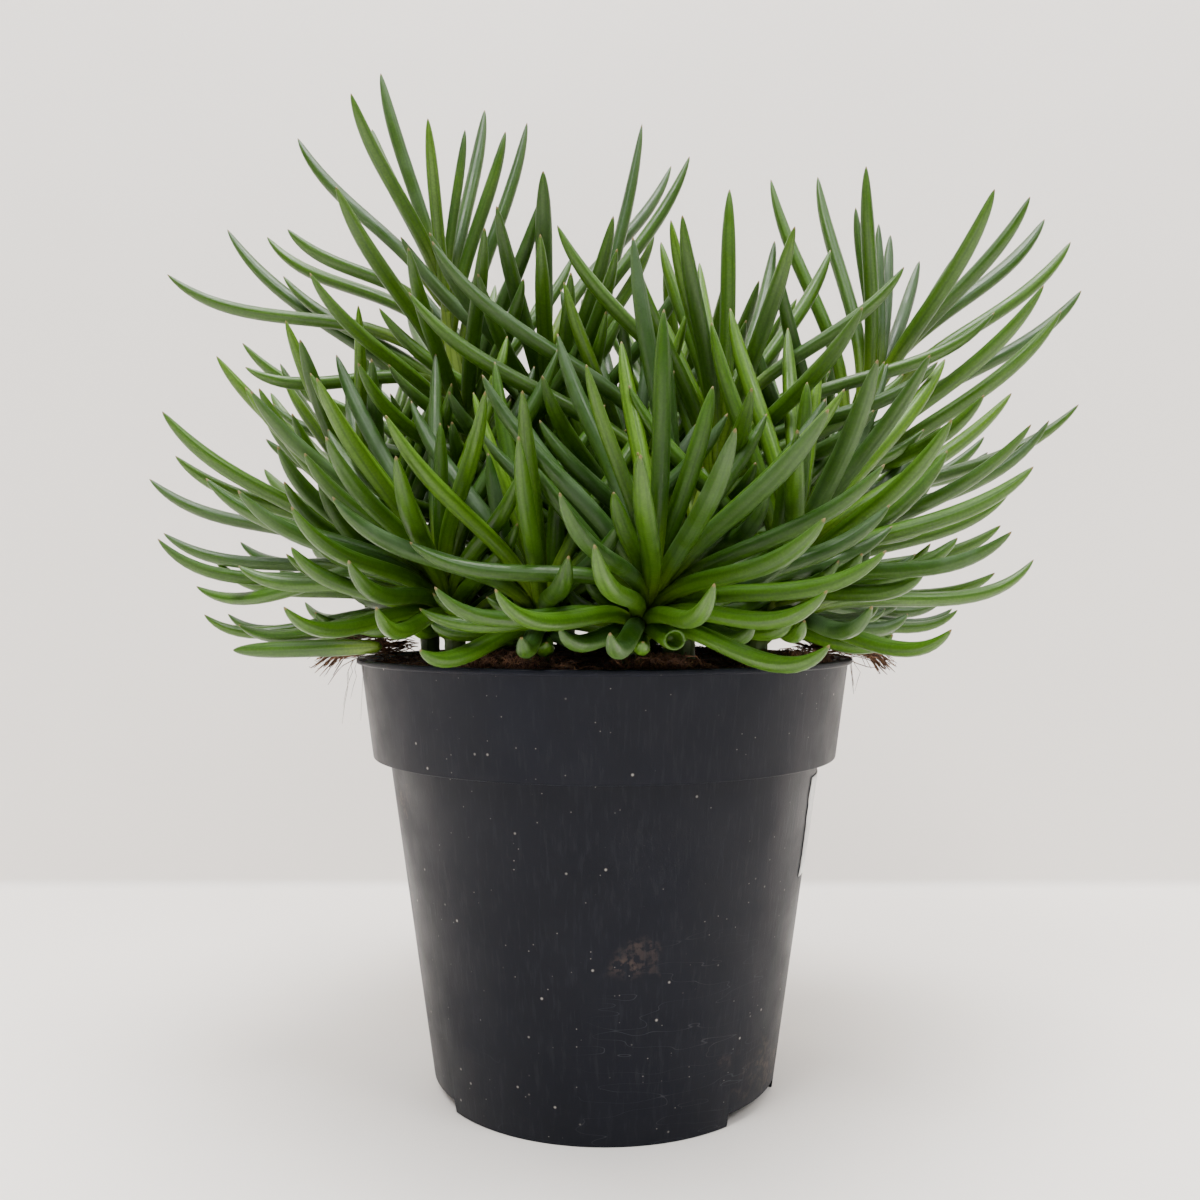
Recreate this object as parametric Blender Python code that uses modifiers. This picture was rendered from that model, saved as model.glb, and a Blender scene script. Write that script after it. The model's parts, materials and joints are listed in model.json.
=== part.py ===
"""A potted succulent bush senecio: leafy finger-leaved shoots planted in a stepped nursery pot.

Metres, +Z up. The origin is the centre of the pot's foot, and -Y is the front.
Each shoot is a stem with its leaves. The first few placed leaves are objects of their own,
set a hair off the stem, and the rest are joined to the stem.
"""

import math
from typing import NamedTuple

import bmesh
import bpy
import numpy as np
from mathutils import Vector

MM = 0.001
UP = Vector((0, 0, 1))

# Pot
POT_HEIGHT = 146.5 * MM
LIP_RADIUS = 85.5 * MM
LIP_OVERHANG = 1.5 * MM
LIP_THICKNESS = 1.6 * MM
COLLAR_HEIGHT = 33.5 * MM
COLLAR_TAPER = 4.2 * MM
COLLAR_STEP = 5.5 * MM
EDGE_ROUND = 1.2 * MM
EDGE_CHAMFER = 0.36 * MM
BASE_RADIUS = 58.5 * MM
WALL = 1.3 * MM
FOOT_WIDTH = 2.4 * MM
FLOOR_RISE = 5.2 * MM
FLOOR_THICKNESS = 1.6 * MM
POT_STEPS = 48
NOTCH_HEIGHT = 4.2 * MM
NOTCH_WIDTH = 36 * MM
NOTCH_DEPTH = 12 * MM
NOTCH_AZIMUTHS = (-31, 75, 197)
DRAIN_RADIUS = 4 * MM
DRAIN_CIRCLE = 44 * MM
DRAIN_COUNT = 6

# Potting mix
FIT = 0.3 * MM
MIX_BELOW_RIM = 2 * MM
MIX_DOME = 5 * MM
DOME_SHOULDER = 1.25
DOME_RINGS = (0, 0.35, 0.6, 0.82)
PLANTING_DEPTH = 22 * MM
HOLE_SIDES = 10

# Stems
STEM_RADIUS = 3.6 * MM
STEM_TIP_RADIUS = 2.2 * MM
STEM_POINTS = 8
STRAIGHT_FOOT = 4 * MM
STEM_RISE = 0.34
STEM_TURN = 0.36
CROWN_LEAN = 0.2
STEM_TAPER_START = 0.55
STEM_STEP = 0.02

# Leaves
LEAF_LENGTH = 88 * MM
LEAF_RADIUS = 2.7 * MM
LEAF_PIECES = 5
PROBES = 5
SOCKET_SHARE = 0.62
SOCKET_LENGTH = 0.3
TAPER_START = 0.62
TAPER_BLUNTNESS = 0.6
LEAF_STEEPNESS = 0.7
LEAF_ARCH = 1.7
OWN_NODE_HUG = 0.5
ROOT_HANDLE = 0.36
TIP_HANDLE = 0.36
ROOT_ZONE = 20 * MM
CLEARANCE = 0.4 * MM
STANDOFF = 0.5 * MM
LOWEST_ROOT = 5 * MM
OUTSIDE_DROP = 1.5 * MM
GOLDEN_ANGLE = 137.508

# Leaves that follow the rule, from the youngest at the crown to the oldest by the mix
HIGHEST_ROOT = 0.99
SPREADS = (5, 82)
SPREAD_POWER = 0.62
LEE_SPREAD = 0.84
HEADING_UP = 0.5
YOUNG_LENGTH = 0.5
YOUNG_RADIUS = 0.62
OLD_SHORTER = 0.12
CURLS = (0.15, 1.0)
GROWN_AT = 0.3
GROWN_BEFORE = 0.12

# Label and coir
LABEL_HEIGHT = 33 * MM
LABEL_DROP = 5 * MM
LABEL_START = -24
LABEL_SWEEP = 64
LABEL_THICKNESS = 0.3 * MM
LABEL_STEPS = 14
COIR_RADIUS = 3.6 * MM


class Shoot(NamedTuple):
    """Foot in shares of the mix's radius, crown in mm above the rim, leaves by rule and first azimuth."""

    foot: tuple
    crown: tuple
    leaves: int
    turn: float


SHOOTS = {
    "tall_left": Shoot((-0.48, 0.10), (-57, 4, 134), 16, 20),
    "tall_centre": Shoot((-0.17, 0.24), (-21, 8, 110), 16, 75),
    "tall_right": Shoot((0.63, 0.05), (96, -6, 100), 14, 130),
    "middle_right": Shoot((0.27, -0.36), (40, -24, 81), 12, 10),
    "front": Shoot((0.10, -0.80), (14, -76, 24), 11, 60),
    "front_left": Shoot((-0.24, -0.63), (-19, -58, 20), 14, 0),
    "left_front": Shoot((-0.58, -0.44), (-52, -46, 32), 13, 100),
    "left": Shoot((-0.75, 0.07), (-86, 10, 58), 15, 45),
    "right_front": Shoot((0.58, -0.51), (58, -56, 38), 13, 200),
    "front_centre": Shoot((0.30, -0.56), (24, -58, 36), 10, 290),
    "centre": Shoot((0.02, -0.15), (10, -20, 62), 14, 250),
    "back_right": Shoot((0.22, 0.56), (34, 60, 92), 15, 15),
    "right_back": Shoot((0.68, 0.44), (84, 58, 50), 14, 80),
    "back_left": Shoot((-0.31, 0.60), (-56, 74, 78), 15, 140),
    "back": Shoot((0.02, 0.80), (-4, 87, 52), 14, 30),
}

# Leaves set one by one, in millimetres: height of the root above the rim, then x, y and height of the tip.
PLACED_LEAVES = {
    "tall_left": [
        (104, (-154, 0, 134.5)),
        (98, (-139, 20, 156.5)),
        (95, (-110, -6, 148.5)),
        (122, (-110, 8, 185.5)),
        (128, (-78, -4, 203.5)),
        (108, (-126, 26, 155.5)),
        (118, (-44, 20, 200.5)),
        (124, (-28, 14, 193.5)),
        (126, (-88, 12, 198.5)),
        (112, (-82, -14, 183.5)),
        (90, (-123, -12, 99.5)),
    ],
    "tall_centre": [
        (88, (14, 20, 195.5)),
        (92, (31, 26, 180.5)),
        (98, (-20, -32, 159.5)),
        (78, (30, -10, 136.5)),
        (96, (26, 34, 187.5)),
        (100, (15, 0, 177.5)),
        (104, (5, 10, 191.5)),
        (102, (-17, 18, 199.5)),
    ],
    "tall_right": [
        (74, (166, -5, 127.5)),
        (86, (165, 2, 146.5)),
        (60, (151, -26, 115.5)),
        (40, (164, -8, 87.5)),
        (90, (158, 8, 156.5)),
        (94, (141, -4, 153.5)),
        (84, (86, -28, 162.5)),
        (72, (60, 10, 171.5)),
        (82, (78, 16, 174.5)),
        (70, (139, -22, 119.5)),
        (46, (150, -18, 80.5)),
        (34, (135, -22, 75.5)),
        (88, (123, -16, 149.5)),
    ],
    "middle_right": [
        (58, (-53, -56, 129.5)),
        (64, (127, -32, 113.5)),
        (50, (-61, -50, 115.5)),
        (72, (40, -38, 151.5)),
        (68, (95, -42, 125.5)),
        (66, (-15, -46, 137.5)),
        (60, (103, -52, 93.5)),
        (74, (78, -30, 140.5)),
        (72, (62, 0, 150.5)),
        (42, (8, -58, 125.5)),
    ],
    "front": [
        (15, (54, -102, 37.5)),
        (20, (30, -88, 79.5)),
        (17, (-23, -84, 63.5)),
        (6, (-52, -88, 17.5)),
        (19, (2, -104, 48.5)),
        (12, (-53, -78, 35.5)),
        (22, (16, -80, 99.5)),
        (10, (84, -72, 41.5)),
        (8, (-45, -72, 24.5)),
        (11, (73, -82, 27.5)),
        (5, (54, -98, 10.5)),
    ],
    "front_left": [
        (14, (-34, -52, 93.5)),
        (12, (-34, -74, 62.5)),
        (10, (-14, -78, 57.5)),
        (8, (-79, -64, 17.5)),
    ],
    "left_front": [
        (24, (-115, -46, 30.5)),
        (26, (-92, -44, 70.5)),
        (20, (-93, -60, 35.5)),
        (22, (-49, -66, 72.5)),
        (16, (-139, -14, 24.5)),
        (12, (-124, -44, 11.5)),
    ],
    "left": [
        (40, (-164, 10, 63.5)),
        (46, (-147, -10, 82.5)),
        (34, (-156, 2, 43.5)),
        (44, (-113, -24, 82.5)),
        (26, (-143, -18, 39.5)),
    ],
    "right_front": [
        (28, (100, -72, 63.5)),
        (22, (106, -62, 38.5)),
        (30, (51, -92, 61.5)),
        (34, (59, -72, 83.5)),
        (8, (144, -34, 33.5)),
        (20, (109, -48, 45.5)),
    ],
    "front_centre": [
        (34, (8, -60, 125.5)),
        (30, (17, -66, 104.5)),
        (26, (35, -62, 82.5)),
    ],
    "centre": [],
    "right_back": [
        (30, (157, 42, 61.5)),
        (24, (147, 22, 47.5)),
        (36, (153, 60, 85.5)),
        (14, (139, 4, 29.5)),
    ],
    "back_left": [
        (62, (-143, 52, 121.5)),
        (50, (-120, 120, 89.5)),
        (44, (-64, 143, 65.5)),
    ],
    "back_right": [
        (64, (70, 140, 115.5)),
    ],
    "back": [
        (34, (10, 143, 67.5)),
        (26, (-40, 141, 43.5)),
    ],
}
MOST_OWN_LEAVES = 3
OWN_NODE_LEAVES = {"front_centre": 1}
CUT_SHOOT = "front"
CUT_LEAF = (10, (19, -96, 9))
CUT_RADIUS = 3.1 * MM

# Strands of coir over the rim, and a fallen leaf that lies on it, in millimetres:
# distance out past the lip, y, and height above the rim.
COIR_SIDES = {"coir_left": -1, "coir_right": 1}
COIR_LINE = [(-22, -15, 5.4), (-10, -17, 5.2), (2.5, -18, 4.8), (9.5, -18, -1)]
COIR_SWELL = (0.8, 1, 1, 0.5)
LOOSE_SIDE = -1
LOOSE_LEAF = [(-14, -34, 4.6), (-4, -32, 4), (7, -30, 3.6), (22, -27, 2.6), (38, -24, 3)]
NOBODY = -1

# Tries for a leaf that would touch another: turn in degrees, and share of its spread.
TRIES = [(turn, spread) for spread in (1, 0.86, 1.12, 0.7) for turn in (0, 11, -11, 23, -23, 36, -36)]
LENGTH_TRIES = (1, 0.82, 0.66)
PLACED_LENGTHS = (1, 0.82, 0.66, 0.5, 0.38)
DEPTH_TRIES = (0, 7, -7, 14, -14, 21, -21, 28, -28)
CURL_TRIES = (0.6, 0.2, 1.0)
SHIFT_TRIES = (0, 0.06, -0.06, 0.12, -0.12, 0.2, -0.2)
PLACED_ROOTS = (0.02, 0.97)

MATERIALS = {
    "pot_plastic": ((0.032, 0.036, 0.044), 0.42),
    "potting_mix": ((0.035, 0.018, 0.010), 0.95),
    "shoot_green": ((0.085, 0.235, 0.028), 0.38),
    "coir": ((0.120, 0.050, 0.022), 0.90),
    "label_film": ((0.72, 0.72, 0.70), 0.35),
}


def mix(a, b, share):
    return a + (b - a) * share


def smooth(share):
    share = min(max(share, 0.0), 1.0)
    return share * share * (3 - 2 * share)


def polar(degrees, radius=1.0, z=0.0):
    angle = math.radians(degrees)
    return Vector((radius * math.cos(angle), radius * math.sin(angle), z))


# Scene helpers


def clear_scene():
    for obj in list(bpy.data.objects):
        bpy.data.objects.remove(obj)


def new_collection(name):
    collection = bpy.data.collections.new(name)
    bpy.context.scene.collection.children.link(collection)
    return collection


def material(name):
    found = bpy.data.materials.get(name)
    if found:
        return found
    colour, roughness = MATERIALS[name]
    made = bpy.data.materials.new(name)
    made.use_nodes = True
    shader = made.node_tree.nodes["Principled BSDF"]
    shader.inputs["Base Color"].default_value = (*colour, 1)
    shader.inputs["Roughness"].default_value = roughness
    return made


def add_mesh(name, mesh, collection, slot=None):
    obj = bpy.data.objects.new(name, mesh)
    collection.objects.link(obj)
    if slot:
        mesh.materials.append(material(slot))
    return obj


def as_cutter(obj):
    obj.hide_render = True
    obj.display_type = "WIRE"
    return obj


def boolean(obj, operation, collection):
    modifier = obj.modifiers.new(operation.title(), "BOOLEAN")
    modifier.operation = operation
    modifier.operand_type = "COLLECTION"
    modifier.collection = collection
    modifier.solver = "EXACT"


def turned(name, profile, steps, collection, slot):
    """A profile of (radius, height) points, up the inside and down the outside, turned round Z."""
    mesh = bpy.data.meshes.new(name)
    points = [(radius, 0, height) for radius, height in profile]
    mesh.from_pydata(points, [(i, i + 1) for i in range(len(points) - 1)], [])
    obj = add_mesh(name, mesh, collection, slot)
    screw = obj.modifiers.new("Turn", "SCREW")
    screw.axis = "Z"
    screw.steps = steps
    screw.render_steps = steps
    screw.use_merge_vertices = True
    screw.merge_threshold = 0.01 * MM
    return obj


def tube(name, points, radii, collection, slot=None, resolution=1):
    """A closed tube of changing radius along points, as a mesh."""
    curve = bpy.data.curves.new(name, "CURVE")
    curve.dimensions = "3D"
    curve.bevel_depth = 1.0
    curve.bevel_resolution = resolution
    curve.use_fill_caps = True
    spline = curve.splines.new("POLY")
    spline.points.add(len(points) - 1)
    for point, place, radius in zip(spline.points, points, radii):
        point.co = (*place, 1)
        point.radius = radius
    guide = bpy.data.objects.new(name + "_line", curve)
    collection.objects.link(guide)
    mesh = bpy.data.meshes.new_from_object(guide.evaluated_get(bpy.context.evaluated_depsgraph_get()))
    bpy.data.objects.remove(guide)
    mesh.name = name
    shape = bmesh.new()
    shape.from_mesh(mesh)
    bmesh.ops.remove_doubles(shape, verts=shape.verts, dist=0.01 * MM)
    bmesh.ops.recalc_face_normals(shape, faces=shape.faces)
    shape.to_mesh(mesh)
    shape.free()
    mesh.shade_smooth()
    return add_mesh(name, mesh, collection, slot)


# Pot and potting mix

STEP_Z = POT_HEIGHT - COLLAR_HEIGHT
COLLAR_TOP_RADIUS = LIP_RADIUS - LIP_OVERHANG
COLLAR_BOTTOM_RADIUS = COLLAR_TOP_RADIUS - COLLAR_TAPER
BODY_TOP_RADIUS = COLLAR_BOTTOM_RADIUS - COLLAR_STEP
FLOOR_TOP = FLOOR_RISE + FLOOR_THICKNESS
MIX_EDGE_Z = POT_HEIGHT - MIX_BELOW_RIM
MIX_RADIUS = COLLAR_TOP_RADIUS - WALL


def body_radius(z):
    """Outside radius of the tapered body below the step."""
    return mix(BASE_RADIUS, BODY_TOP_RADIUS, z / STEP_Z)


def inner_profile(gap, top):
    """The pot's inside from the floor's edge up to top, taken in by gap."""
    slope_share = (top - STEP_Z) / COLLAR_HEIGHT
    return [
        (body_radius(FLOOR_TOP) - WALL - gap, FLOOR_TOP + gap),
        (BODY_TOP_RADIUS - WALL - gap, STEP_Z + WALL + gap),
        (COLLAR_BOTTOM_RADIUS - WALL - gap, STEP_Z + WALL + gap),
        (mix(COLLAR_BOTTOM_RADIUS, COLLAR_TOP_RADIUS, slope_share) - WALL - gap, top),
    ]


def make_pot(parts, cutters):
    lip_bottom = POT_HEIGHT - LIP_THICKNESS
    outside = [
        (LIP_RADIUS - EDGE_CHAMFER, POT_HEIGHT),
        (LIP_RADIUS, POT_HEIGHT - EDGE_CHAMFER),
        (LIP_RADIUS, lip_bottom),
        (COLLAR_TOP_RADIUS, lip_bottom),
        (COLLAR_BOTTOM_RADIUS, STEP_Z + EDGE_ROUND),
        (COLLAR_BOTTOM_RADIUS - EDGE_CHAMFER, STEP_Z + EDGE_CHAMFER),
        (COLLAR_BOTTOM_RADIUS - EDGE_ROUND, STEP_Z),
        (BODY_TOP_RADIUS, STEP_Z),
        (BASE_RADIUS, 0),
        (BASE_RADIUS - FOOT_WIDTH, 0),
        (body_radius(FLOOR_RISE) - FOOT_WIDTH, FLOOR_RISE),
        (0, FLOOR_RISE),
    ]
    profile = [(0, FLOOR_TOP), *inner_profile(0, POT_HEIGHT), *outside]
    pot = turned("pot", profile, POT_STEPS, parts, "pot_plastic")
    notch_size = Vector((NOTCH_DEPTH, NOTCH_WIDTH, NOTCH_HEIGHT * 2))
    for index, azimuth in enumerate(NOTCH_AZIMUTHS):
        shape = bmesh.new()
        bmesh.ops.create_cube(shape, size=1)
        bmesh.ops.scale(shape, verts=shape.verts, vec=notch_size)
        mesh = bpy.data.meshes.new(f"notch_{index}")
        shape.to_mesh(mesh)
        shape.free()
        notch = as_cutter(add_mesh(f"notch_{index}", mesh, cutters))
        notch.location = polar(azimuth, BASE_RADIUS - FOOT_WIDTH)
        notch.rotation_euler.z = math.radians(azimuth)
    for index in range(DRAIN_COUNT):
        place = polar(360 * (index + 0.5) / DRAIN_COUNT, DRAIN_CIRCLE, FLOOR_RISE)
        round_cutter(f"drain_{index}", place, DRAIN_RADIUS, FLOOR_THICKNESS * 4, cutters)
    return pot


def round_cutter(name, place, radius, length, collection):
    """An upright cutter centred on place, whose flats are radius from its axis."""
    shape = bmesh.new()
    corner = radius / math.cos(math.pi / HOLE_SIDES)
    bmesh.ops.create_cone(
        shape, cap_ends=True, segments=HOLE_SIDES, radius1=corner, radius2=corner, depth=length
    )
    mesh = bpy.data.meshes.new(name)
    shape.to_mesh(mesh)
    shape.free()
    obj = as_cutter(add_mesh(name, mesh, collection))
    obj.location = place
    return obj


def mix_top(radius):
    """Height of the potting mix at this distance from the axis."""
    return MIX_EDGE_Z + MIX_DOME * smooth(DOME_SHOULDER * (1 - radius / MIX_RADIUS))


def make_potting_mix(parts, holes):
    sides = inner_profile(FIT, MIX_EDGE_Z)
    edge = sides[-1][0]
    top = [(edge * share, mix_top(edge * share)) for share in DOME_RINGS]
    profile = [*top, *reversed(sides), (0, FLOOR_TOP + FIT)]
    mass = turned("potting_mix", profile, POT_STEPS // 2, parts, "potting_mix")
    for name, shoot in SHOOTS.items():
        round_cutter(f"{name}_hole", foot_of(shoot), STEM_RADIUS + FIT, 2 * (PLANTING_DEPTH + FIT), holes)
    return mass


# Stems


def foot_of(shoot):
    """Where the stem leaves the mix."""
    x, y = (share * MIX_RADIUS for share in shoot.foot)
    return Vector((x, y, mix_top(math.hypot(x, y))))


def stem_at(shoot, share):
    """A point on the stem: share 0 is just above the mix, 1 the crown."""
    start = foot_of(shoot) + UP * STRAIGHT_FOOT
    crown = Vector(shoot.crown) * MM + UP * POT_HEIGHT
    rise = crown.z - start.z
    lean = Vector((crown.x - start.x, crown.y - start.y, 0))
    low = start + UP * rise * STEM_RISE
    high = crown - UP * rise * STEM_TURN - lean * CROWN_LEAN
    rest = 1 - share
    return (
        start * rest**3
        + low * (3 * rest * rest * share)
        + high * (3 * rest * share * share)
        + crown * share**3
    )


def stem_direction(shoot, share):
    above, below = min(share + STEM_STEP, 1), max(share - STEM_STEP, 0)
    return (stem_at(shoot, above) - stem_at(shoot, below)).normalized()


def stem_radius(share):
    return mix(STEM_RADIUS, STEM_TIP_RADIUS, smooth((share - STEM_TAPER_START) / (1 - STEM_TAPER_START)))


def stem_share(shoot, height):
    """The share of the stem at this height above the rim."""
    low, high = 0.0, 1.0
    for _ in range(20):
        middle = (low + high) / 2
        if stem_at(shoot, middle).z < POT_HEIGHT + height:
            low = middle
        else:
            high = middle
    return (low + high) / 2


# Leaves


class Leaf(NamedTuple):
    """A leaf's centreline, its radii along it and whether it is a node of its own."""

    line: np.ndarray
    radii: np.ndarray
    own_node: bool


def leaf_profile(share, cut):
    """Radius at this share of a leaf's length, as a share of its widest."""
    base = mix(SOCKET_SHARE, 1, smooth(share / SOCKET_LENGTH))
    if cut:
        return base
    taper = max(0.0, (share - TAPER_START) / (1 - TAPER_START))
    return base * (1 - taper**2) ** TAPER_BLUNTNESS


def leaf_line(root, tip, axis, curl, hug):
    """A leaf leaves its stem steeply, swings out and turns up again towards its tip."""
    chord = tip - root
    reach = chord.length
    along = chord / reach
    away = (along + axis * hug * (LEAF_STEEPNESS + LEAF_ARCH * (1 - along.dot(axis)))).normalized()
    rising = (along + UP * curl).normalized()
    first = root + away * reach * ROOT_HANDLE
    second = tip - rising * reach * TIP_HANDLE
    shares = np.linspace(0, 1, LEAF_PIECES + 1)[:, None]
    rest = 1 - shares
    return (
        np.array(root) * rest**3
        + np.array(first) * 3 * rest**2 * shares
        + np.array(second) * 3 * rest * shares**2
        + np.array(tip) * shares**3
    )


def make_leaf(shoot, share, tip, radius, curl, own_node=False, cut=False):
    axis = stem_direction(shoot, share)
    centre = stem_at(shoot, share)
    sideways = tip - centre
    sideways = (sideways - axis * sideways.dot(axis)).normalized()
    outset = stem_radius(share) + STANDOFF + radius * SOCKET_SHARE if own_node else 0.0
    root = centre + sideways * outset
    hug = OWN_NODE_HUG if own_node else 1
    line = leaf_line(root, tip, axis, curl, hug)
    radii = np.array([leaf_profile(i / LEAF_PIECES, cut) for i in range(LEAF_PIECES + 1)]) * radius
    return Leaf(line, radii, own_node)


def probes_along(line, radii):
    """Places along a line, close together, and the radius at each."""
    places = np.linspace(0, len(line) - 1, (len(line) - 1) * PROBES + 1)
    steps = np.arange(len(line))
    points = np.stack([np.interp(places, steps, line[:, axis]) for axis in range(3)], axis=1)
    return points, np.interp(places, steps, radii)


class Thicket:
    """What has grown so far, as straight stretches, to find whether a new leaf has room."""

    def __init__(self):
        self.starts = np.zeros((0, 3))
        self.ends = np.zeros((0, 3))
        self.radii = np.zeros(0)
        self.owners = np.zeros(0, int)
        self.mergeable = np.zeros(0, bool)

    def add(self, line, radii, owner, mergeable):
        self.starts = np.vstack([self.starts, line[:-1]])
        self.ends = np.vstack([self.ends, line[1:]])
        self.radii = np.append(self.radii, np.maximum(radii[:-1], radii[1:]))
        self.owners = np.append(self.owners, np.full(len(line) - 1, owner))
        self.mergeable = np.append(self.mergeable, mergeable)

    def has_room(self, line, radii, owner, own_node):
        """Two joined leaves of one shoot may meet where both are near the stem."""
        points, widths = probes_along(line, radii)
        reach = widths.max() + self.radii[:, None] + CLEARANCE
        near = (np.minimum(self.starts, self.ends) - reach < points.max(0)).all(1)
        near &= (np.maximum(self.starts, self.ends) + reach > points.min(0)).all(1)
        starts = self.starts[near]
        spans = self.ends[near] - starts
        lengths = np.maximum((spans**2).sum(1), 1e-12)
        offsets = points[:, None] - starts[None]
        along = np.clip((offsets * spans).sum(2) / lengths, 0, 1)
        gaps = np.linalg.norm(offsets - along[..., None] * spans, axis=2)
        free = gaps > widths[:, None] + self.radii[near] + CLEARANCE
        if not own_node:
            travelled = np.append(0, np.cumsum(np.linalg.norm(np.diff(points, axis=0), axis=1)))
            same = (self.owners[near] == owner) & self.mergeable[near]
            free |= (travelled < ROOT_ZONE)[:, None] & same
        return bool(free.all())


def above_pot(line, radii):
    """A leaf clears the mix and the lip, and hardly hangs below the lip outside the pot."""
    distance = np.hypot(line[:, 0], line[:, 1])
    inside = distance < LIP_RADIUS + radii + CLEARANCE
    floor = np.where(
        distance < MIX_RADIUS,
        np.array([max(mix_top(r), POT_HEIGHT) for r in distance]),
        POT_HEIGHT,
    )
    floor = np.where(inside, floor, POT_HEIGHT - OUTSIDE_DROP)
    return bool((line[:, 2] - radii > floor + CLEARANCE).all())


def has_place(leaf, thicket, owner):
    points, widths = probes_along(leaf.line, leaf.radii)
    past_root = slice(PROBES, None)
    return above_pot(points[past_root], widths[past_root]) and thicket.has_room(
        leaf.line, leaf.radii, owner, leaf.own_node
    )


def joined_zone(line, own_node):
    """Which stretches of a leaf another joined leaf of the same shoot may run into."""
    if own_node:
        return np.zeros(len(line) - 1, bool)
    travelled = np.cumsum(np.linalg.norm(np.diff(line, axis=0), axis=1))
    return travelled < ROOT_ZONE


def grow_by_rule(shoot, number, thicket, owner):
    """The next leaf down the shoot, a golden angle on from the last, or None where there is no room."""
    age = (number + 0.5) / shoot.leaves
    lowest = stem_share(shoot, LOWEST_ROOT)
    share = mix(HIGHEST_ROOT, lowest, age)
    axis = stem_direction(shoot, share)
    centre = stem_at(shoot, share)
    outwards = Vector((shoot.crown[0], shoot.crown[1], 0)).normalized()
    azimuth = shoot.turn + number * GOLDEN_ANGLE
    grown = smooth((age + GROWN_BEFORE) / (GROWN_AT + GROWN_BEFORE))
    reach = LEAF_LENGTH * mix(YOUNG_LENGTH, 1, grown) * (1 - OLD_SHORTER * age)
    radius = LEAF_RADIUS * mix(YOUNG_RADIUS, 1, grown)
    heading = mix(axis, UP, HEADING_UP).normalized()
    for length_share in LENGTH_TRIES:
        for turn, spread_share in TRIES:
            flat = polar(azimuth + turn)
            facing = mix(LEE_SPREAD, 1, flat.dot(outwards))
            spread = mix(*SPREADS, age**SPREAD_POWER) * spread_share * facing
            sideways = (flat - heading * flat.dot(heading)).normalized()
            angle = math.radians(spread)
            direction = heading * math.cos(angle) + sideways * math.sin(angle)
            tip = centre + direction * reach * length_share
            leaf = make_leaf(shoot, share, tip, radius, mix(*CURLS, age))
            if has_place(leaf, thicket, owner):
                return leaf
    return None


def grow_all():
    """Every shoot's leaves: the placed ones first, then those that follow the rule."""
    thicket = Thicket()
    grown = {name: [] for name in SHOOTS}
    for name, shoot in SHOOTS.items():
        shares = [i / STEM_POINTS for i in range(STEM_POINTS + 1)]
        line = np.array([stem_at(shoot, share) for share in shares])
        radii = np.array([stem_radius(share) for share in shares])
        thicket.add(line, radii, owner_of(name), np.ones(STEM_POINTS, bool))
    lying = [(COIR_LINE, side, COIR_RADIUS) for side in COIR_SIDES.values()]
    for line, side, radius in [*lying, (LOOSE_LEAF, LOOSE_SIDE, LEAF_RADIUS)]:
        points = over_rim(line, side)
        thicket.add(points, np.full(len(points), radius), NOBODY, np.zeros(len(points) - 1, bool))
    cut_height, cut_end = CUT_LEAF
    stub_share = stem_share(SHOOTS[CUT_SHOOT], cut_height * MM)
    stub = make_leaf(SHOOTS[CUT_SHOOT], stub_share, tip_at(cut_end), CUT_RADIUS, 0, cut=True)
    plant(stub, CUT_SHOOT, grown, thicket)
    later = []
    for name, shoot in SHOOTS.items():
        for height, tip in PLACED_LEAVES[name]:
            share = stem_share(shoot, height * MM)
            leaf = None
            wanted = OWN_NODE_LEAVES.get(name, MOST_OWN_LEAVES)
            if sum(grew.own_node for grew in grown[name]) < wanted:
                leaf = fit_placed(shoot, share, tip_at(tip), True, thicket, owner_of(name))
                plant(leaf, name, grown, thicket)
            if not leaf:
                later.append((name, share, tip))
    for name, share, tip in later:
        leaf = fit_placed(SHOOTS[name], share, tip_at(tip), False, thicket, owner_of(name))
        plant(leaf, name, grown, thicket)
    for name, shoot in SHOOTS.items():
        for number in range(shoot.leaves):
            leaf = grow_by_rule(shoot, number, thicket, owner_of(name))
            plant(leaf, name, grown, thicket)
    return grown


def owner_of(name):
    return list(SHOOTS).index(name)


def plant(leaf, name, grown, thicket):
    """Keep a leaf that found room."""
    if leaf:
        grown[name].append(leaf)
        zone = joined_zone(leaf.line, leaf.own_node)
        thicket.add(leaf.line, leaf.radii, owner_of(name), zone)


def over_rim(line, side):
    """Places on the left (-1) or right (1) from distances past the lip, y and height above the rim."""
    return np.array([(side * (LIP_RADIUS + out * MM), y * MM, POT_HEIGHT + up * MM) for out, y, up in line])


def tip_at(tip):
    """The place of a leaf's tip, given in millimetres with its height above the rim."""
    return Vector(tip) * MM + UP * POT_HEIGHT


def fit_placed(shoot, share, tip, own_node, thicket, owner):
    """A placed leaf, with its root, bend, depth and length changed a little until it has room."""
    lowest, highest = PLACED_ROOTS
    for length_share in PLACED_LENGTHS:
        for depth in DEPTH_TRIES:
            for curl in CURL_TRIES:
                for shift in SHIFT_TRIES:
                    moved = min(max(share + shift, lowest), highest)
                    moved_tip = tip + Vector((0, depth * MM, 0))
                    end = stem_at(shoot, moved).lerp(moved_tip, length_share)
                    leaf = make_leaf(shoot, moved, end, LEAF_RADIUS, curl, own_node)
                    if has_place(leaf, thicket, owner):
                        return leaf
    return None


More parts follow.
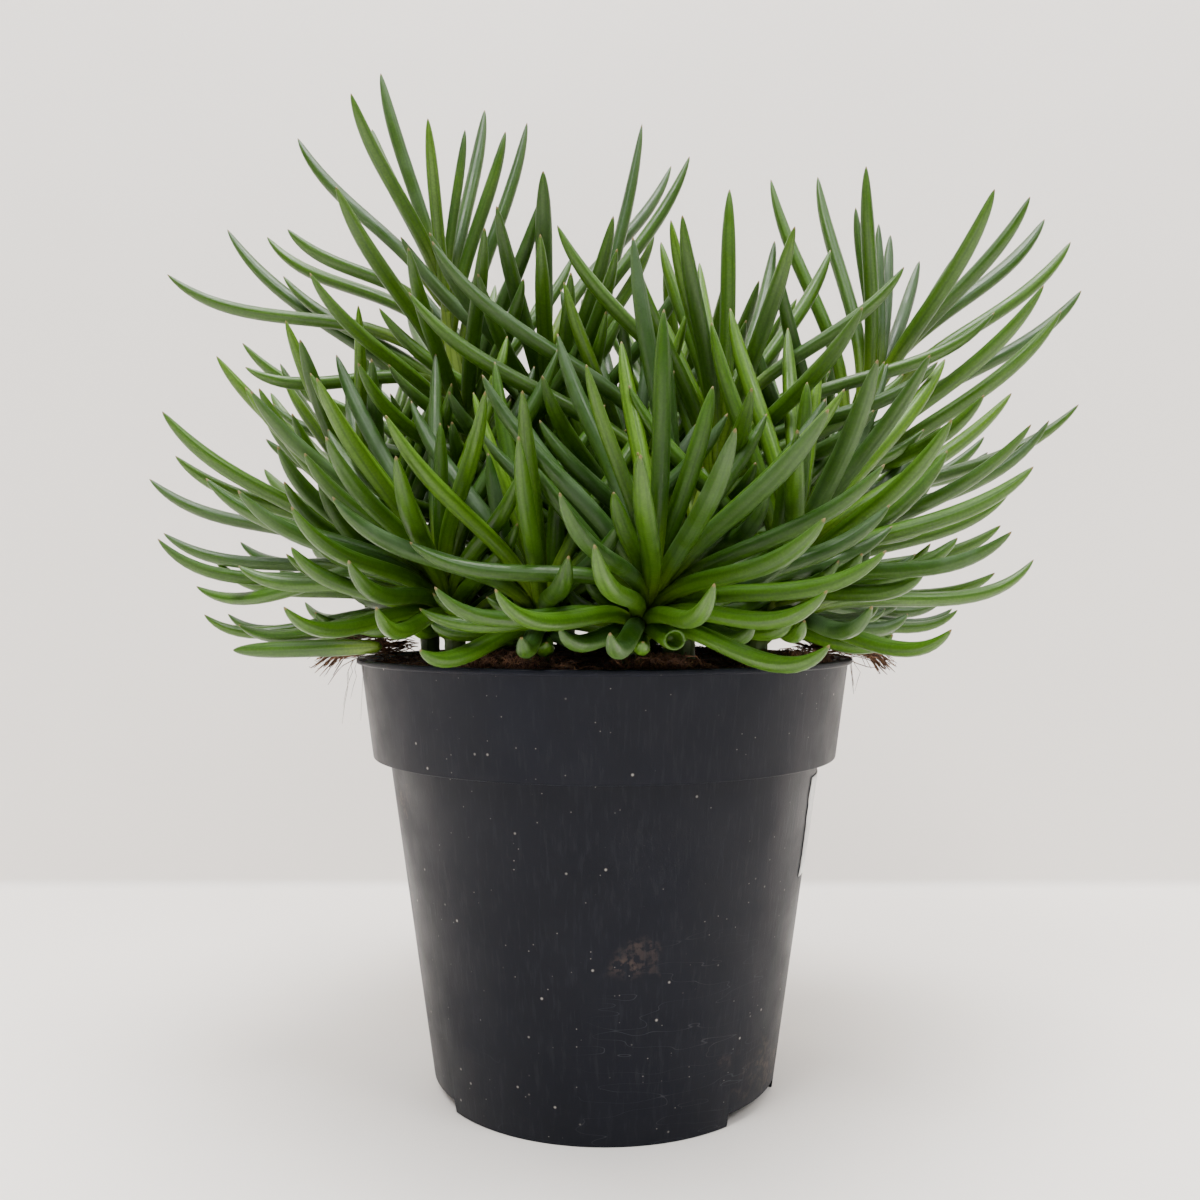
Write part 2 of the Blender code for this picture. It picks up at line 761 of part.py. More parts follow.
def make_shoots(parts, joined):
    """The stems and their leaves; gives each stem with the leaves that are still to be joined to it."""
    pairs = []
    for name, leaves in grow_all().items():
        shoot = SHOOTS[name]
        grouped = bpy.data.collections.new(name + "_leaves")
        joined.children.link(grouped)
        shares = [i / STEM_POINTS for i in range(STEM_POINTS + 1)]
        foot = foot_of(shoot)
        points = [foot - UP * PLANTING_DEPTH, foot + UP * STRAIGHT_FOOT * 0.5]
        points += [stem_at(shoot, share) for share in shares]
        radii = [STEM_RADIUS, STEM_RADIUS, *(stem_radius(share) for share in shares)]
        stem = tube(name + "_shoot", points, radii, parts, "shoot_green")
        own = 0
        for index, leaf in enumerate(leaves):
            if leaf.own_node:
                own += 1
                tube(f"{name}_leaf_{own}", leaf.line, leaf.radii, parts, "shoot_green")
            else:
                as_cutter(tube(f"{name}_joined_{index}", leaf.line, leaf.radii, grouped, None, 0))
        pairs.append((stem, grouped))
    return pairs


def make_coir(parts):
    for name, side in COIR_SIDES.items():
        tube(name, over_rim(COIR_LINE, side), [COIR_RADIUS * share for share in COIR_SWELL], parts, "coir")


def make_loose_leaf(parts):
    last = len(LOOSE_LEAF) - 1
    radii = [LEAF_RADIUS * leaf_profile(i / last, False) for i in range(last + 1)]
    tube("loose_leaf", over_rim(LOOSE_LEAF, LOOSE_SIDE), radii, parts, "shoot_green")


def make_label(parts):
    """A plain film label round the side of the body, under the collar."""
    top = STEP_Z - LABEL_DROP
    bottom = top - LABEL_HEIGHT
    mesh = bpy.data.meshes.new("label")
    edge = [(body_radius(z) + FIT, 0, z) for z in (top, bottom)]
    mesh.from_pydata(edge, [(0, 1)], [])
    label = add_mesh("label", mesh, parts, "label_film")
    screw = label.modifiers.new("Sweep", "SCREW")
    screw.angle = math.radians(LABEL_SWEEP)
    screw.steps = LABEL_STEPS
    screw.render_steps = LABEL_STEPS
    screw.use_merge_vertices = False
    shell = label.modifiers.new("Film", "SOLIDIFY")
    shell.thickness = LABEL_THICKNESS
    shell.offset = 1
    label.rotation_euler.z = math.radians(LABEL_START)
    return label


def main():
    clear_scene()
    parts = new_collection("potted_bush_senecio")
    pot_cutters = new_collection("pot_cutters")
    holes = new_collection("planting_holes")
    joined = new_collection("joined_leaves")
    pot = make_pot(parts, pot_cutters)
    mass = make_potting_mix(parts, holes)
    pairs = make_shoots(parts, joined)
    make_coir(parts)
    make_loose_leaf(parts)
    make_label(parts)
    boolean(pot, "DIFFERENCE", pot_cutters)
    boolean(mass, "DIFFERENCE", holes)
    for stem, grouped in pairs:
        boolean(stem, "UNION", grouped)


main()
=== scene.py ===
import json
import math
import random
from typing import NamedTuple

import bmesh
import bpy
import numpy as np
from mathutils import Matrix, Vector, noise

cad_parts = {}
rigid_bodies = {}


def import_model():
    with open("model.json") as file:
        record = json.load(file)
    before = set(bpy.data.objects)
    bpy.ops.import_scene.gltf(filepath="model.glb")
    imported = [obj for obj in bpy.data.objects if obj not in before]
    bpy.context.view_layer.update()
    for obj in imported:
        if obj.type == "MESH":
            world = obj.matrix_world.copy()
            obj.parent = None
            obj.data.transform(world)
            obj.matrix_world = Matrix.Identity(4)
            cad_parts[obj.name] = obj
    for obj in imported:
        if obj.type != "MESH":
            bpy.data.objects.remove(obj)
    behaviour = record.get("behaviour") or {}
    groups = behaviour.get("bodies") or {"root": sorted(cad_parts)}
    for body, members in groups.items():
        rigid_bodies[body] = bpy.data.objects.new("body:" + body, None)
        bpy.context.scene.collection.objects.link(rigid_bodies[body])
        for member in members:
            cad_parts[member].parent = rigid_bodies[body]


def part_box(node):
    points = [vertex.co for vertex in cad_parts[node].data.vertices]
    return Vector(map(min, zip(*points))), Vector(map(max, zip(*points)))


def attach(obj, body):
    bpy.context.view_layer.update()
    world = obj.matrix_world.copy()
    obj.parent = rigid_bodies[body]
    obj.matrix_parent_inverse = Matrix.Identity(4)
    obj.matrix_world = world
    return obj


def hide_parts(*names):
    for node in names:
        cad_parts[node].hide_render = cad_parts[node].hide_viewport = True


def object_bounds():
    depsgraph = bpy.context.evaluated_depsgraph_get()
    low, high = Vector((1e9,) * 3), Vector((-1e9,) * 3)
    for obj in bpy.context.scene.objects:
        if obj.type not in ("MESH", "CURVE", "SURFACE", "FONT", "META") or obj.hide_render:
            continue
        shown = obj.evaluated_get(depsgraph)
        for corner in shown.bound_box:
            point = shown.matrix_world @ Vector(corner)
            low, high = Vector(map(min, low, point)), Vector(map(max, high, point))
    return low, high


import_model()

bl_info = {
    "name": "Potted Bush Senecio",
    "version": (1, 0, 0),
    "blender": (4, 5, 0),
    "location": "View3D > Sidebar > Senecio",
    "description": "Finishes a potted finger-leaved succulent: shoots, potting mix, nursery pot and studio",
    "category": "Object",
}

MM = 0.001
UP = Vector((0, 0, 1))
SEED = 7
CAD_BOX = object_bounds()
POT_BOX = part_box("pot")

# Pot, as the model has it
POT_HEIGHT = POT_BOX[1][2]
LIP_RADIUS = POT_BOX[1][0]
LIP_OVERHANG = 1.5 * MM
LIP_THICKNESS = 1.6 * MM
COLLAR_HEIGHT = 33.5 * MM
COLLAR_TAPER = 4.2 * MM
COLLAR_STEP = 5.5 * MM
BASE_RADIUS = 58.5 * MM
WALL = 1.3 * MM
FOOT_WIDTH = 2.4 * MM
FLOOR_RISE = 5.2 * MM
FLOOR_THICKNESS = 1.6 * MM
NOTCH_HEIGHT = 4.2 * MM
NOTCH_WIDTH = 36 * MM
NOTCH_DEPTH = 12 * MM
NOTCH_AZIMUTHS = (-31, 75, 197)
DRAIN_RADIUS = 4 * MM
DRAIN_CIRCLE = 44 * MM
DRAIN_COUNT = 6
MIX_BELOW_RIM = 2 * MM
MIX_DOME = 5 * MM
DOME_SHOULDER = 1.25

STEP_Z = POT_HEIGHT - COLLAR_HEIGHT
COLLAR_TOP_RADIUS = LIP_RADIUS - LIP_OVERHANG
COLLAR_BOTTOM_RADIUS = COLLAR_TOP_RADIUS - COLLAR_TAPER
BODY_TOP_RADIUS = COLLAR_BOTTOM_RADIUS - COLLAR_STEP
FLOOR_TOP = FLOOR_RISE + FLOOR_THICKNESS
MIX_EDGE_Z = POT_HEIGHT - MIX_BELOW_RIM
MIX_RADIUS = COLLAR_TOP_RADIUS - WALL

# Stems and leaves, as the model has them
STEM_RADIUS = 3.6 * MM
STEM_TIP_RADIUS = 2.2 * MM
STEM_POINTS = 8
STRAIGHT_FOOT = 4 * MM
STEM_RISE = 0.34
STEM_TURN = 0.36
CROWN_LEAN = 0.2
STEM_TAPER_START = 0.55
STEM_STEP = 0.02
LEAF_LENGTH = 88 * MM
LEAF_RADIUS = 2.7 * MM
LEAF_PIECES = 5
PROBES = 5
SOCKET_SHARE = 0.62
SOCKET_LENGTH = 0.3
TAPER_START = 0.62
TAPER_BLUNTNESS = 0.6
LEAF_STEEPNESS = 0.7
LEAF_ARCH = 1.7
OWN_NODE_HUG = 0.5
ROOT_HANDLE = 0.36
TIP_HANDLE = 0.36
ROOT_ZONE = 20 * MM
CLEARANCE = 0.4 * MM
STANDOFF = 0.5 * MM
LOWEST_ROOT = 5 * MM
OUTSIDE_DROP = 1.5 * MM
GOLDEN_ANGLE = 137.508

# Leaves that follow the rule, from the youngest at the crown to the oldest by the mix
HIGHEST_ROOT = 0.99
SPREADS = (5, 82)
SPREAD_POWER = 0.62
LEE_SPREAD = 0.84
HEADING_UP = 0.5
YOUNG_LENGTH = 0.5
YOUNG_RADIUS = 0.62
OLD_SHORTER = 0.12
CURLS = (0.15, 1.0)
GROWN_AT = 0.3
GROWN_BEFORE = 0.12
MOST_OWN_LEAVES = 3
OWN_NODE_LEAVES = {"front_centre": 1}
NOBODY = -1
COIR_RADIUS = 3.6 * MM


class Shoot(NamedTuple):
    """Foot in shares of the mix's radius, crown in mm above the rim, leaves by rule and first azimuth."""

    foot: tuple
    crown: tuple
    leaves: int
    turn: float


SHOOTS = {
    "tall_left": Shoot((-0.48, 0.10), (-57, 4, 134), 16, 20),
    "tall_centre": Shoot((-0.17, 0.24), (-21, 8, 110), 16, 75),
    "tall_right": Shoot((0.63, 0.05), (96, -6, 100), 14, 130),
    "middle_right": Shoot((0.27, -0.36), (40, -24, 81), 12, 10),
    "front": Shoot((0.10, -0.80), (14, -76, 24), 11, 60),
    "front_left": Shoot((-0.24, -0.63), (-19, -58, 20), 14, 0),
    "left_front": Shoot((-0.58, -0.44), (-52, -46, 32), 13, 100),
    "left": Shoot((-0.75, 0.07), (-86, 10, 58), 15, 45),
    "right_front": Shoot((0.58, -0.51), (58, -56, 38), 13, 200),
    "front_centre": Shoot((0.30, -0.56), (24, -58, 36), 10, 290),
    "centre": Shoot((0.02, -0.15), (10, -20, 62), 14, 250),
    "back_right": Shoot((0.22, 0.56), (34, 60, 92), 15, 15),
    "right_back": Shoot((0.68, 0.44), (84, 58, 50), 14, 80),
    "back_left": Shoot((-0.31, 0.60), (-56, 74, 78), 15, 140),
    "back": Shoot((0.02, 0.80), (-4, 87, 52), 14, 30),
}

# Leaves set one by one, in millimetres: height of the root above the rim, then x, y and height of the tip.
PLACED_LEAVES = {
    "tall_left": [
        (104, (-154, 0, 134.5)),
        (98, (-139, 20, 156.5)),
        (95, (-110, -6, 148.5)),
        (122, (-110, 8, 185.5)),
        (128, (-78, -4, 203.5)),
        (108, (-126, 26, 155.5)),
        (118, (-44, 20, 200.5)),
        (124, (-28, 14, 193.5)),
        (126, (-88, 12, 198.5)),
        (112, (-82, -14, 183.5)),
        (90, (-123, -12, 99.5)),
    ],
    "tall_centre": [
        (88, (14, 20, 195.5)),
        (92, (31, 26, 180.5)),
        (98, (-20, -32, 159.5)),
        (78, (30, -10, 136.5)),
        (96, (26, 34, 187.5)),
        (100, (15, 0, 177.5)),
        (104, (5, 10, 191.5)),
        (102, (-17, 18, 199.5)),
    ],
    "tall_right": [
        (74, (166, -5, 127.5)),
        (86, (165, 2, 146.5)),
        (60, (151, -26, 115.5)),
        (40, (164, -8, 87.5)),
        (90, (158, 8, 156.5)),
        (94, (141, -4, 153.5)),
        (84, (86, -28, 162.5)),
        (72, (60, 10, 171.5)),
        (82, (78, 16, 174.5)),
        (70, (139, -22, 119.5)),
        (46, (150, -18, 80.5)),
        (34, (135, -22, 75.5)),
        (88, (123, -16, 149.5)),
    ],
    "middle_right": [
        (58, (-53, -56, 129.5)),
        (64, (127, -32, 113.5)),
        (50, (-61, -50, 115.5)),
        (72, (40, -38, 151.5)),
        (68, (95, -42, 125.5)),
        (66, (-15, -46, 137.5)),
        (60, (103, -52, 93.5)),
        (74, (78, -30, 140.5)),
        (72, (62, 0, 150.5)),
        (42, (8, -58, 125.5)),
    ],
    "front": [
        (15, (54, -102, 37.5)),
        (20, (30, -88, 79.5)),
        (17, (-23, -84, 63.5)),
        (6, (-52, -88, 17.5)),
        (19, (2, -104, 48.5)),
        (12, (-53, -78, 35.5)),
        (22, (16, -80, 99.5)),
        (10, (84, -72, 41.5)),
        (8, (-45, -72, 24.5)),
        (11, (73, -82, 27.5)),
        (5, (54, -98, 10.5)),
    ],
    "front_left": [
        (14, (-34, -52, 93.5)),
        (12, (-34, -74, 62.5)),
        (10, (-14, -78, 57.5)),
        (8, (-79, -64, 17.5)),
    ],
    "left_front": [
        (24, (-115, -46, 30.5)),
        (26, (-92, -44, 70.5)),
        (20, (-93, -60, 35.5)),
        (22, (-49, -66, 72.5)),
        (16, (-139, -14, 24.5)),
        (12, (-124, -44, 11.5)),
    ],
    "left": [
        (40, (-164, 10, 63.5)),
        (46, (-147, -10, 82.5)),
        (34, (-156, 2, 43.5)),
        (44, (-113, -24, 82.5)),
        (26, (-143, -18, 39.5)),
    ],
    "right_front": [
        (28, (100, -72, 63.5)),
        (22, (106, -62, 38.5)),
        (30, (51, -92, 61.5)),
        (34, (59, -72, 83.5)),
        (8, (144, -34, 33.5)),
        (20, (109, -48, 45.5)),
    ],
    "front_centre": [
        (34, (8, -60, 125.5)),
        (30, (17, -66, 104.5)),
        (26, (35, -62, 82.5)),
    ],
    "centre": [],
    "right_back": [
        (30, (157, 42, 61.5)),
        (24, (147, 22, 47.5)),
        (36, (153, 60, 85.5)),
        (14, (139, 4, 29.5)),
    ],
    "back_left": [
        (62, (-143, 52, 121.5)),
        (50, (-120, 120, 89.5)),
        (44, (-64, 143, 65.5)),
    ],
    "back_right": [
        (64, (70, 140, 115.5)),
    ],
    "back": [
        (34, (10, 143, 67.5)),
        (26, (-40, 141, 43.5)),
    ],
}
CUT_SHOOT = "front"
CUT_LEAF = (10, (19, -96, 9))
CUT_RADIUS = 3.1 * MM
LABEL_START = -24
LABEL_SWEEP = 64
LABEL_INSET = 1.2
LABEL_SHARE = 0.975
LABEL_COLUMNS = 26
LABEL_ROWS = 18
LABEL_JAG = 2.2
LABEL_TORN = 0.45
LABEL_PROUD = 0.34 * MM
LABEL_FILM = 0.14 * MM
CUT_HOLLOW = 0.7
CUT_DEPTH = 5 * MM
CUT_GREEN = 0.8

# Strands of coir over the rim, and a fallen leaf that lies on it, in millimetres:
# distance out past the lip, y, and height above the rim.
COIR_SIDES = {"coir_left": -1, "coir_right": 1}
COIR_LINE = [(-22, -15, 5.4), (-10, -17, 5.2), (2.5, -18, 4.8), (9.5, -18, -1)]
COIR_BANKS = ((247, 26), (282, 16), (322, 18))
BANK_LIFT = 6.5
BANK_FIBRE_SPREAD = 0.4
HANGING_STRANDS = 6
CRUMB_ROUGHNESS = 0.22
LOOSE_SIDE = -1
LOOSE_LEAF = [(-14, -34, 4.6), (-4, -32, 4), (7, -30, 3.6), (22, -27, 2.6), (38, -24, 3)]

TRIES = [(turn, spread) for spread in (1, 0.86, 1.12, 0.7) for turn in (0, 11, -11, 23, -23, 36, -36)]
LENGTH_TRIES = (1, 0.82, 0.66)
PLACED_LENGTHS = (1, 0.82, 0.66, 0.5, 0.38)
DEPTH_TRIES = (0, 7, -7, 14, -14, 21, -21, 28, -28)
CURL_TRIES = (0.6, 0.2, 1.0)
SHIFT_TRIES = (0, 0.06, -0.06, 0.12, -0.12, 0.2, -0.2)
PLACED_ROOTS = (0.02, 0.97)

# Finer shape of the leaves and stems
FILL_LEAVES = 50
FILL_YOUNGEST = 0.03
FILL_SKEW = 0.7
FILL_TRIES = 14
FILL_HUG = 1.5
SKIRT_LEAVES = 9
SKIRT_YOUNGEST = 0.82
SKIRT_LENGTHS = (0.8, 0.62, 0.46, 0.34)
FILL_CLEARANCE = -1.4 * MM
LEAF_RINGS = 11
LEAF_SIDES = 8
LEAF_WIDTH = 1.1
LEAF_POINT = 0.05
SKIN_SOCKET = 0.7
SKIN_TAPER_START = 0.66
SKIN_TAPER_POWER = 2.3
LEAF_TOP = 0.9
LEAF_BACK = 1.04
LEAF_TWIST = 24
STEM_RINGS = 26
STEM_SIDES = 12


def mix(a, b, share):
    return a + (b - a) * share


def smooth(share):
    share = min(max(share, 0.0), 1.0)
    return share * share * (3 - 2 * share)


def polar(degrees, radius=1.0, z=0.0):
    angle = math.radians(degrees)
    return Vector((radius * math.cos(angle), radius * math.sin(angle), z))


def mix_top(radius):
    """Height of the potting mix at this distance from the axis."""
    return MIX_EDGE_Z + MIX_DOME * smooth(DOME_SHOULDER * (1 - radius / MIX_RADIUS))


def foot_of(shoot):
    """Where the stem leaves the mix."""
    x, y = (share * MIX_RADIUS for share in shoot.foot)
    return Vector((x, y, mix_top(math.hypot(x, y))))


def stem_at(shoot, share):
    """A point on the stem: share 0 is just above the mix, 1 the crown."""
    start = foot_of(shoot) + UP * STRAIGHT_FOOT
    crown = Vector(shoot.crown) * MM + UP * POT_HEIGHT
    rise = crown.z - start.z
    lean = Vector((crown.x - start.x, crown.y - start.y, 0))
    low = start + UP * rise * STEM_RISE
    high = crown - UP * rise * STEM_TURN - lean * CROWN_LEAN
    rest = 1 - share
    return (
        start * rest**3
        + low * (3 * rest * rest * share)
        + high * (3 * rest * share * share)
        + crown * share**3
    )


def stem_direction(shoot, share):
    above, below = min(share + STEM_STEP, 1), max(share - STEM_STEP, 0)
    return (stem_at(shoot, above) - stem_at(shoot, below)).normalized()


def stem_radius(share):
    return mix(STEM_RADIUS, STEM_TIP_RADIUS, smooth((share - STEM_TAPER_START) / (1 - STEM_TAPER_START)))


def stem_share(shoot, height):
    """The share of the stem at this height above the rim."""
    low, high = 0.0, 1.0
    for _ in range(20):
        middle = (low + high) / 2
        if stem_at(shoot, middle).z < POT_HEIGHT + height:
            low = middle
        else:
            high = middle
    return (low + high) / 2


# Leaves


class Leaf(NamedTuple):
    """A leaf's coarse centreline and radii, and what its finer shape is worked out from."""

    line: np.ndarray
    radii: np.ndarray
    own_node: bool
    bend: tuple
    axis: Vector
    sideways: Vector
    radius: float
    cut: bool
    age: float


def leaf_profile(share, cut):
    """Radius at this share of a leaf's length, as a share of its widest."""
    base = mix(SOCKET_SHARE, 1, smooth(share / SOCKET_LENGTH))
    if cut:
        return base
    taper = max(0.0, (share - TAPER_START) / (1 - TAPER_START))
    return base * (1 - taper**2) ** TAPER_BLUNTNESS


def leaf_bend(root, tip, axis, curl, hug):
    """A leaf leaves its stem steeply, swings out and turns up again towards its tip."""
    chord = tip - root
    reach = chord.length
    along = chord / reach
    away = (along + axis * hug * (LEAF_STEEPNESS + LEAF_ARCH * (1 - along.dot(axis)))).normalized()
    rising = (along + UP * curl).normalized()
    return root, root + away * reach * ROOT_HANDLE, tip - rising * reach * TIP_HANDLE, tip


def points_along(bend, shares):
    """Places at these shares of a bent line."""
    shares = np.asarray(shares, float)[:, None]
    rest = 1 - shares
    root, first, second, tip = (np.array(point) for point in bend)
    return root * rest**3 + first * 3 * rest**2 * shares + second * 3 * rest * shares**2 + tip * shares**3


def make_leaf(shoot, share, tip, radius, curl, own_node=False, cut=False, age=0.6, hug=1):
    axis = stem_direction(shoot, share)
    centre = stem_at(shoot, share)
    sideways = tip - centre
    sideways = (sideways - axis * sideways.dot(axis)).normalized()
    outset = stem_radius(share) + STANDOFF + radius * SOCKET_SHARE if own_node else 0.0
    root = centre + sideways * outset
    hug = OWN_NODE_HUG if own_node else hug
    bend = leaf_bend(root, tip, axis, curl, hug)
    line = points_along(bend, np.linspace(0, 1, LEAF_PIECES + 1))
    radii = np.array([leaf_profile(i / LEAF_PIECES, cut) for i in range(LEAF_PIECES + 1)]) * radius
    return Leaf(line, radii, own_node, bend, axis, sideways, radius, cut, age)


def probes_along(line, radii):
    """Places along a line, close together, and the radius at each."""
    places = np.linspace(0, len(line) - 1, (len(line) - 1) * PROBES + 1)
    steps = np.arange(len(line))
    points = np.stack([np.interp(places, steps, line[:, axis]) for axis in range(3)], axis=1)
    return points, np.interp(places, steps, radii)


class Thicket:
    """What has grown so far, as straight stretches, to find whether a new leaf has room."""

    def __init__(self):
        self.starts = np.zeros((0, 3))
        self.ends = np.zeros((0, 3))
        self.radii = np.zeros(0)
        self.owners = np.zeros(0, int)
        self.mergeable = np.zeros(0, bool)

    def add(self, line, radii, owner, mergeable):
        self.starts = np.vstack([self.starts, line[:-1]])
        self.ends = np.vstack([self.ends, line[1:]])
        self.radii = np.append(self.radii, np.maximum(radii[:-1], radii[1:]))
        self.owners = np.append(self.owners, np.full(len(line) - 1, owner))
        self.mergeable = np.append(self.mergeable, mergeable)

    def has_room(self, line, radii, owner, own_node, clearance):
        """Two joined leaves of one shoot may meet where both are near the stem."""
        points, widths = probes_along(line, radii)
        reach = widths.max() + self.radii[:, None] + clearance
        near = (np.minimum(self.starts, self.ends) - reach < points.max(0)).all(1)
        near &= (np.maximum(self.starts, self.ends) + reach > points.min(0)).all(1)
        starts = self.starts[near]
        spans = self.ends[near] - starts
        lengths = np.maximum((spans**2).sum(1), 1e-12)
        offsets = points[:, None] - starts[None]
        along = np.clip((offsets * spans).sum(2) / lengths, 0, 1)
        gaps = np.linalg.norm(offsets - along[..., None] * spans, axis=2)
        free = gaps > widths[:, None] + self.radii[near] + clearance
        if not own_node:
            travelled = np.append(0, np.cumsum(np.linalg.norm(np.diff(points, axis=0), axis=1)))
            same = (self.owners[near] == owner) & self.mergeable[near]
            free |= (travelled < ROOT_ZONE)[:, None] & same
        return bool(free.all())


def above_pot(line, radii):
    """A leaf clears the mix and the lip, and hardly hangs below the lip outside the pot."""
    distance = np.hypot(line[:, 0], line[:, 1])
    inside = distance < LIP_RADIUS + radii + CLEARANCE
    floor = np.where(
        distance < MIX_RADIUS,
        np.array([max(mix_top(r), POT_HEIGHT) for r in distance]),
        POT_HEIGHT,
    )
    floor = np.where(inside, floor, POT_HEIGHT - OUTSIDE_DROP)
    return bool((line[:, 2] - radii > floor + CLEARANCE).all())


def has_place(leaf, thicket, owner, clearance=CLEARANCE):
    points, widths = probes_along(leaf.line, leaf.radii)
    past_root = slice(PROBES, None)
    return above_pot(points[past_root], widths[past_root]) and thicket.has_room(
        leaf.line, leaf.radii, owner, leaf.own_node, clearance
    )


def joined_zone(line, own_node):
    """Which stretches of a leaf another joined leaf of the same shoot may run into."""
    if own_node:
        return np.zeros(len(line) - 1, bool)
    travelled = np.cumsum(np.linalg.norm(np.diff(line, axis=0), axis=1))
    return travelled < ROOT_ZONE


def grow_by_rule(shoot, age, azimuth, thicket, owner, within=None, lengths=LENGTH_TRIES):
    """A leaf of this age at this azimuth, turned or shortened until it has room, or None.

    A leaf that fills a gap keeps its tip within a box, bends more and may press on its neighbours.
    """
    if within is None:
        tries, hug, clearance = TRIES, 1, CLEARANCE
    else:
        tries, hug, clearance = TRIES[:FILL_TRIES], FILL_HUG, FILL_CLEARANCE
    lowest = stem_share(shoot, LOWEST_ROOT)
    share = mix(HIGHEST_ROOT, lowest, age)
    axis = stem_direction(shoot, share)
    centre = stem_at(shoot, share)
    outwards = Vector((shoot.crown[0], shoot.crown[1], 0)).normalized()
    grown = smooth((age + GROWN_BEFORE) / (GROWN_AT + GROWN_BEFORE))
    reach = LEAF_LENGTH * mix(YOUNG_LENGTH, 1, grown) * (1 - OLD_SHORTER * age)
    radius = LEAF_RADIUS * mix(YOUNG_RADIUS, 1, grown)
    heading = mix(axis, UP, HEADING_UP).normalized()
    for length_share in lengths:
        for turn, spread_share in tries:
            flat = polar(azimuth + turn)
            facing = mix(LEE_SPREAD, 1, flat.dot(outwards))
            spread = mix(*SPREADS, age**SPREAD_POWER) * spread_share * facing
            sideways = (flat - heading * flat.dot(heading)).normalized()
            angle = math.radians(spread)
            direction = heading * math.cos(angle) + sideways * math.sin(angle)
            tip = centre + direction * reach * length_share
            if within and not inside(tip, within):
                continue
            leaf = make_leaf(shoot, share, tip, radius, mix(*CURLS, age), age=age, hug=hug)
            if has_place(leaf, thicket, owner, clearance):
                return leaf
    return None


def inside(place, box):
    return all(low < value < high for low, value, high in zip(box[0], place, box[1]))


def grow_all(fill):
    """Every shoot's leaves: the placed ones first, those that follow the rule, then smaller ones between."""
    thicket = Thicket()
    grown = {name: [] for name in SHOOTS}
    for name, shoot in SHOOTS.items():
        shares = [i / STEM_POINTS for i in range(STEM_POINTS + 1)]
        line = np.array([stem_at(shoot, share) for share in shares])
        radii = np.array([stem_radius(share) for share in shares])
        thicket.add(line, radii, owner_of(name), np.ones(STEM_POINTS, bool))
    lying = [(COIR_LINE, side, COIR_RADIUS) for side in COIR_SIDES.values()]
    for line, side, radius in [*lying, (LOOSE_LEAF, LOOSE_SIDE, LEAF_RADIUS)]:
        points = over_rim(line, side)
        thicket.add(points, np.full(len(points), radius), NOBODY, np.zeros(len(points) - 1, bool))
    cut_height, cut_end = CUT_LEAF
    stub_share = stem_share(SHOOTS[CUT_SHOOT], cut_height * MM)
    stub = make_leaf(SHOOTS[CUT_SHOOT], stub_share, tip_at(cut_end), CUT_RADIUS, 0, cut=True)
    plant(stub, CUT_SHOOT, grown, thicket)
    later = []
    for name, shoot in SHOOTS.items():
        for height, tip in PLACED_LEAVES[name]:
            share = stem_share(shoot, height * MM)
            leaf = None
            wanted = OWN_NODE_LEAVES.get(name, MOST_OWN_LEAVES)
            if sum(grew.own_node for grew in grown[name]) < wanted:
                leaf = fit_placed(shoot, share, tip_at(tip), True, thicket, owner_of(name))
                plant(leaf, name, grown, thicket)
            if not leaf:
                later.append((name, share, tip))
    for name, share, tip in later:
        leaf = fit_placed(SHOOTS[name], share, tip_at(tip), False, thicket, owner_of(name))
        plant(leaf, name, grown, thicket)
    for name, shoot in SHOOTS.items():
        for number in range(shoot.leaves):
            age, azimuth = (number + 0.5) / shoot.leaves, shoot.turn + number * GOLDEN_ANGLE
            plant(grow_by_rule(shoot, age, azimuth, thicket, owner_of(name)), name, grown, thicket)
    chance = random.Random(SEED)
    margin = Vector((LEAF_RADIUS, LEAF_RADIUS, LEAF_RADIUS))
    within = (CAD_BOX[0] + margin, CAD_BOX[1] - margin)
    for number in range(fill):
        for name, shoot in SHOOTS.items():
            age = mix(FILL_YOUNGEST, 1, chance.random() ** FILL_SKEW)
            azimuth = shoot.turn + (shoot.leaves + number) * GOLDEN_ANGLE
            leaf = grow_by_rule(shoot, age, azimuth, thicket, owner_of(name), within)
            plant(leaf, name, grown, thicket)
    for number in range(SKIRT_LEAVES if fill else 0):
        for name, shoot in SHOOTS.items():
            age = mix(SKIRT_YOUNGEST, 1, chance.random())
            azimuth = shoot.turn + (shoot.leaves + fill + number) * GOLDEN_ANGLE
            leaf = grow_by_rule(shoot, age, azimuth, thicket, owner_of(name), within, SKIRT_LENGTHS)
            plant(leaf, name, grown, thicket)
    return grown


def owner_of(name):
    return list(SHOOTS).index(name)


def plant(leaf, name, grown, thicket):
    """Keep a leaf that found room."""
    if leaf:
        grown[name].append(leaf)
        zone = joined_zone(leaf.line, leaf.own_node)
        thicket.add(leaf.line, leaf.radii, owner_of(name), zone)


def over_rim(line, side):
    """Places on the left (-1) or right (1) from distances past the lip, y and height above the rim."""
    return np.array([(side * (LIP_RADIUS + out * MM), y * MM, POT_HEIGHT + up * MM) for out, y, up in line])


def tip_at(tip):
    """The place of a leaf's tip, given in millimetres with its height above the rim."""
    return Vector(tip) * MM + UP * POT_HEIGHT


def fit_placed(shoot, share, tip, own_node, thicket, owner):
    """A placed leaf, with its root, bend, depth and length changed a little until it has room."""
    lowest, highest = PLACED_ROOTS
    for length_share in PLACED_LENGTHS:
        for depth in DEPTH_TRIES:
            for curl in CURL_TRIES:
                for shift in SHIFT_TRIES:
                    moved = min(max(share + shift, lowest), highest)
                    moved_tip = tip + Vector((0, depth * MM, 0))
                    end = stem_at(shoot, moved).lerp(moved_tip, length_share)
                    leaf = make_leaf(shoot, moved, end, LEAF_RADIUS, curl, own_node)
                    if has_place(leaf, thicket, owner):
                        return leaf
    return None


# Meshes


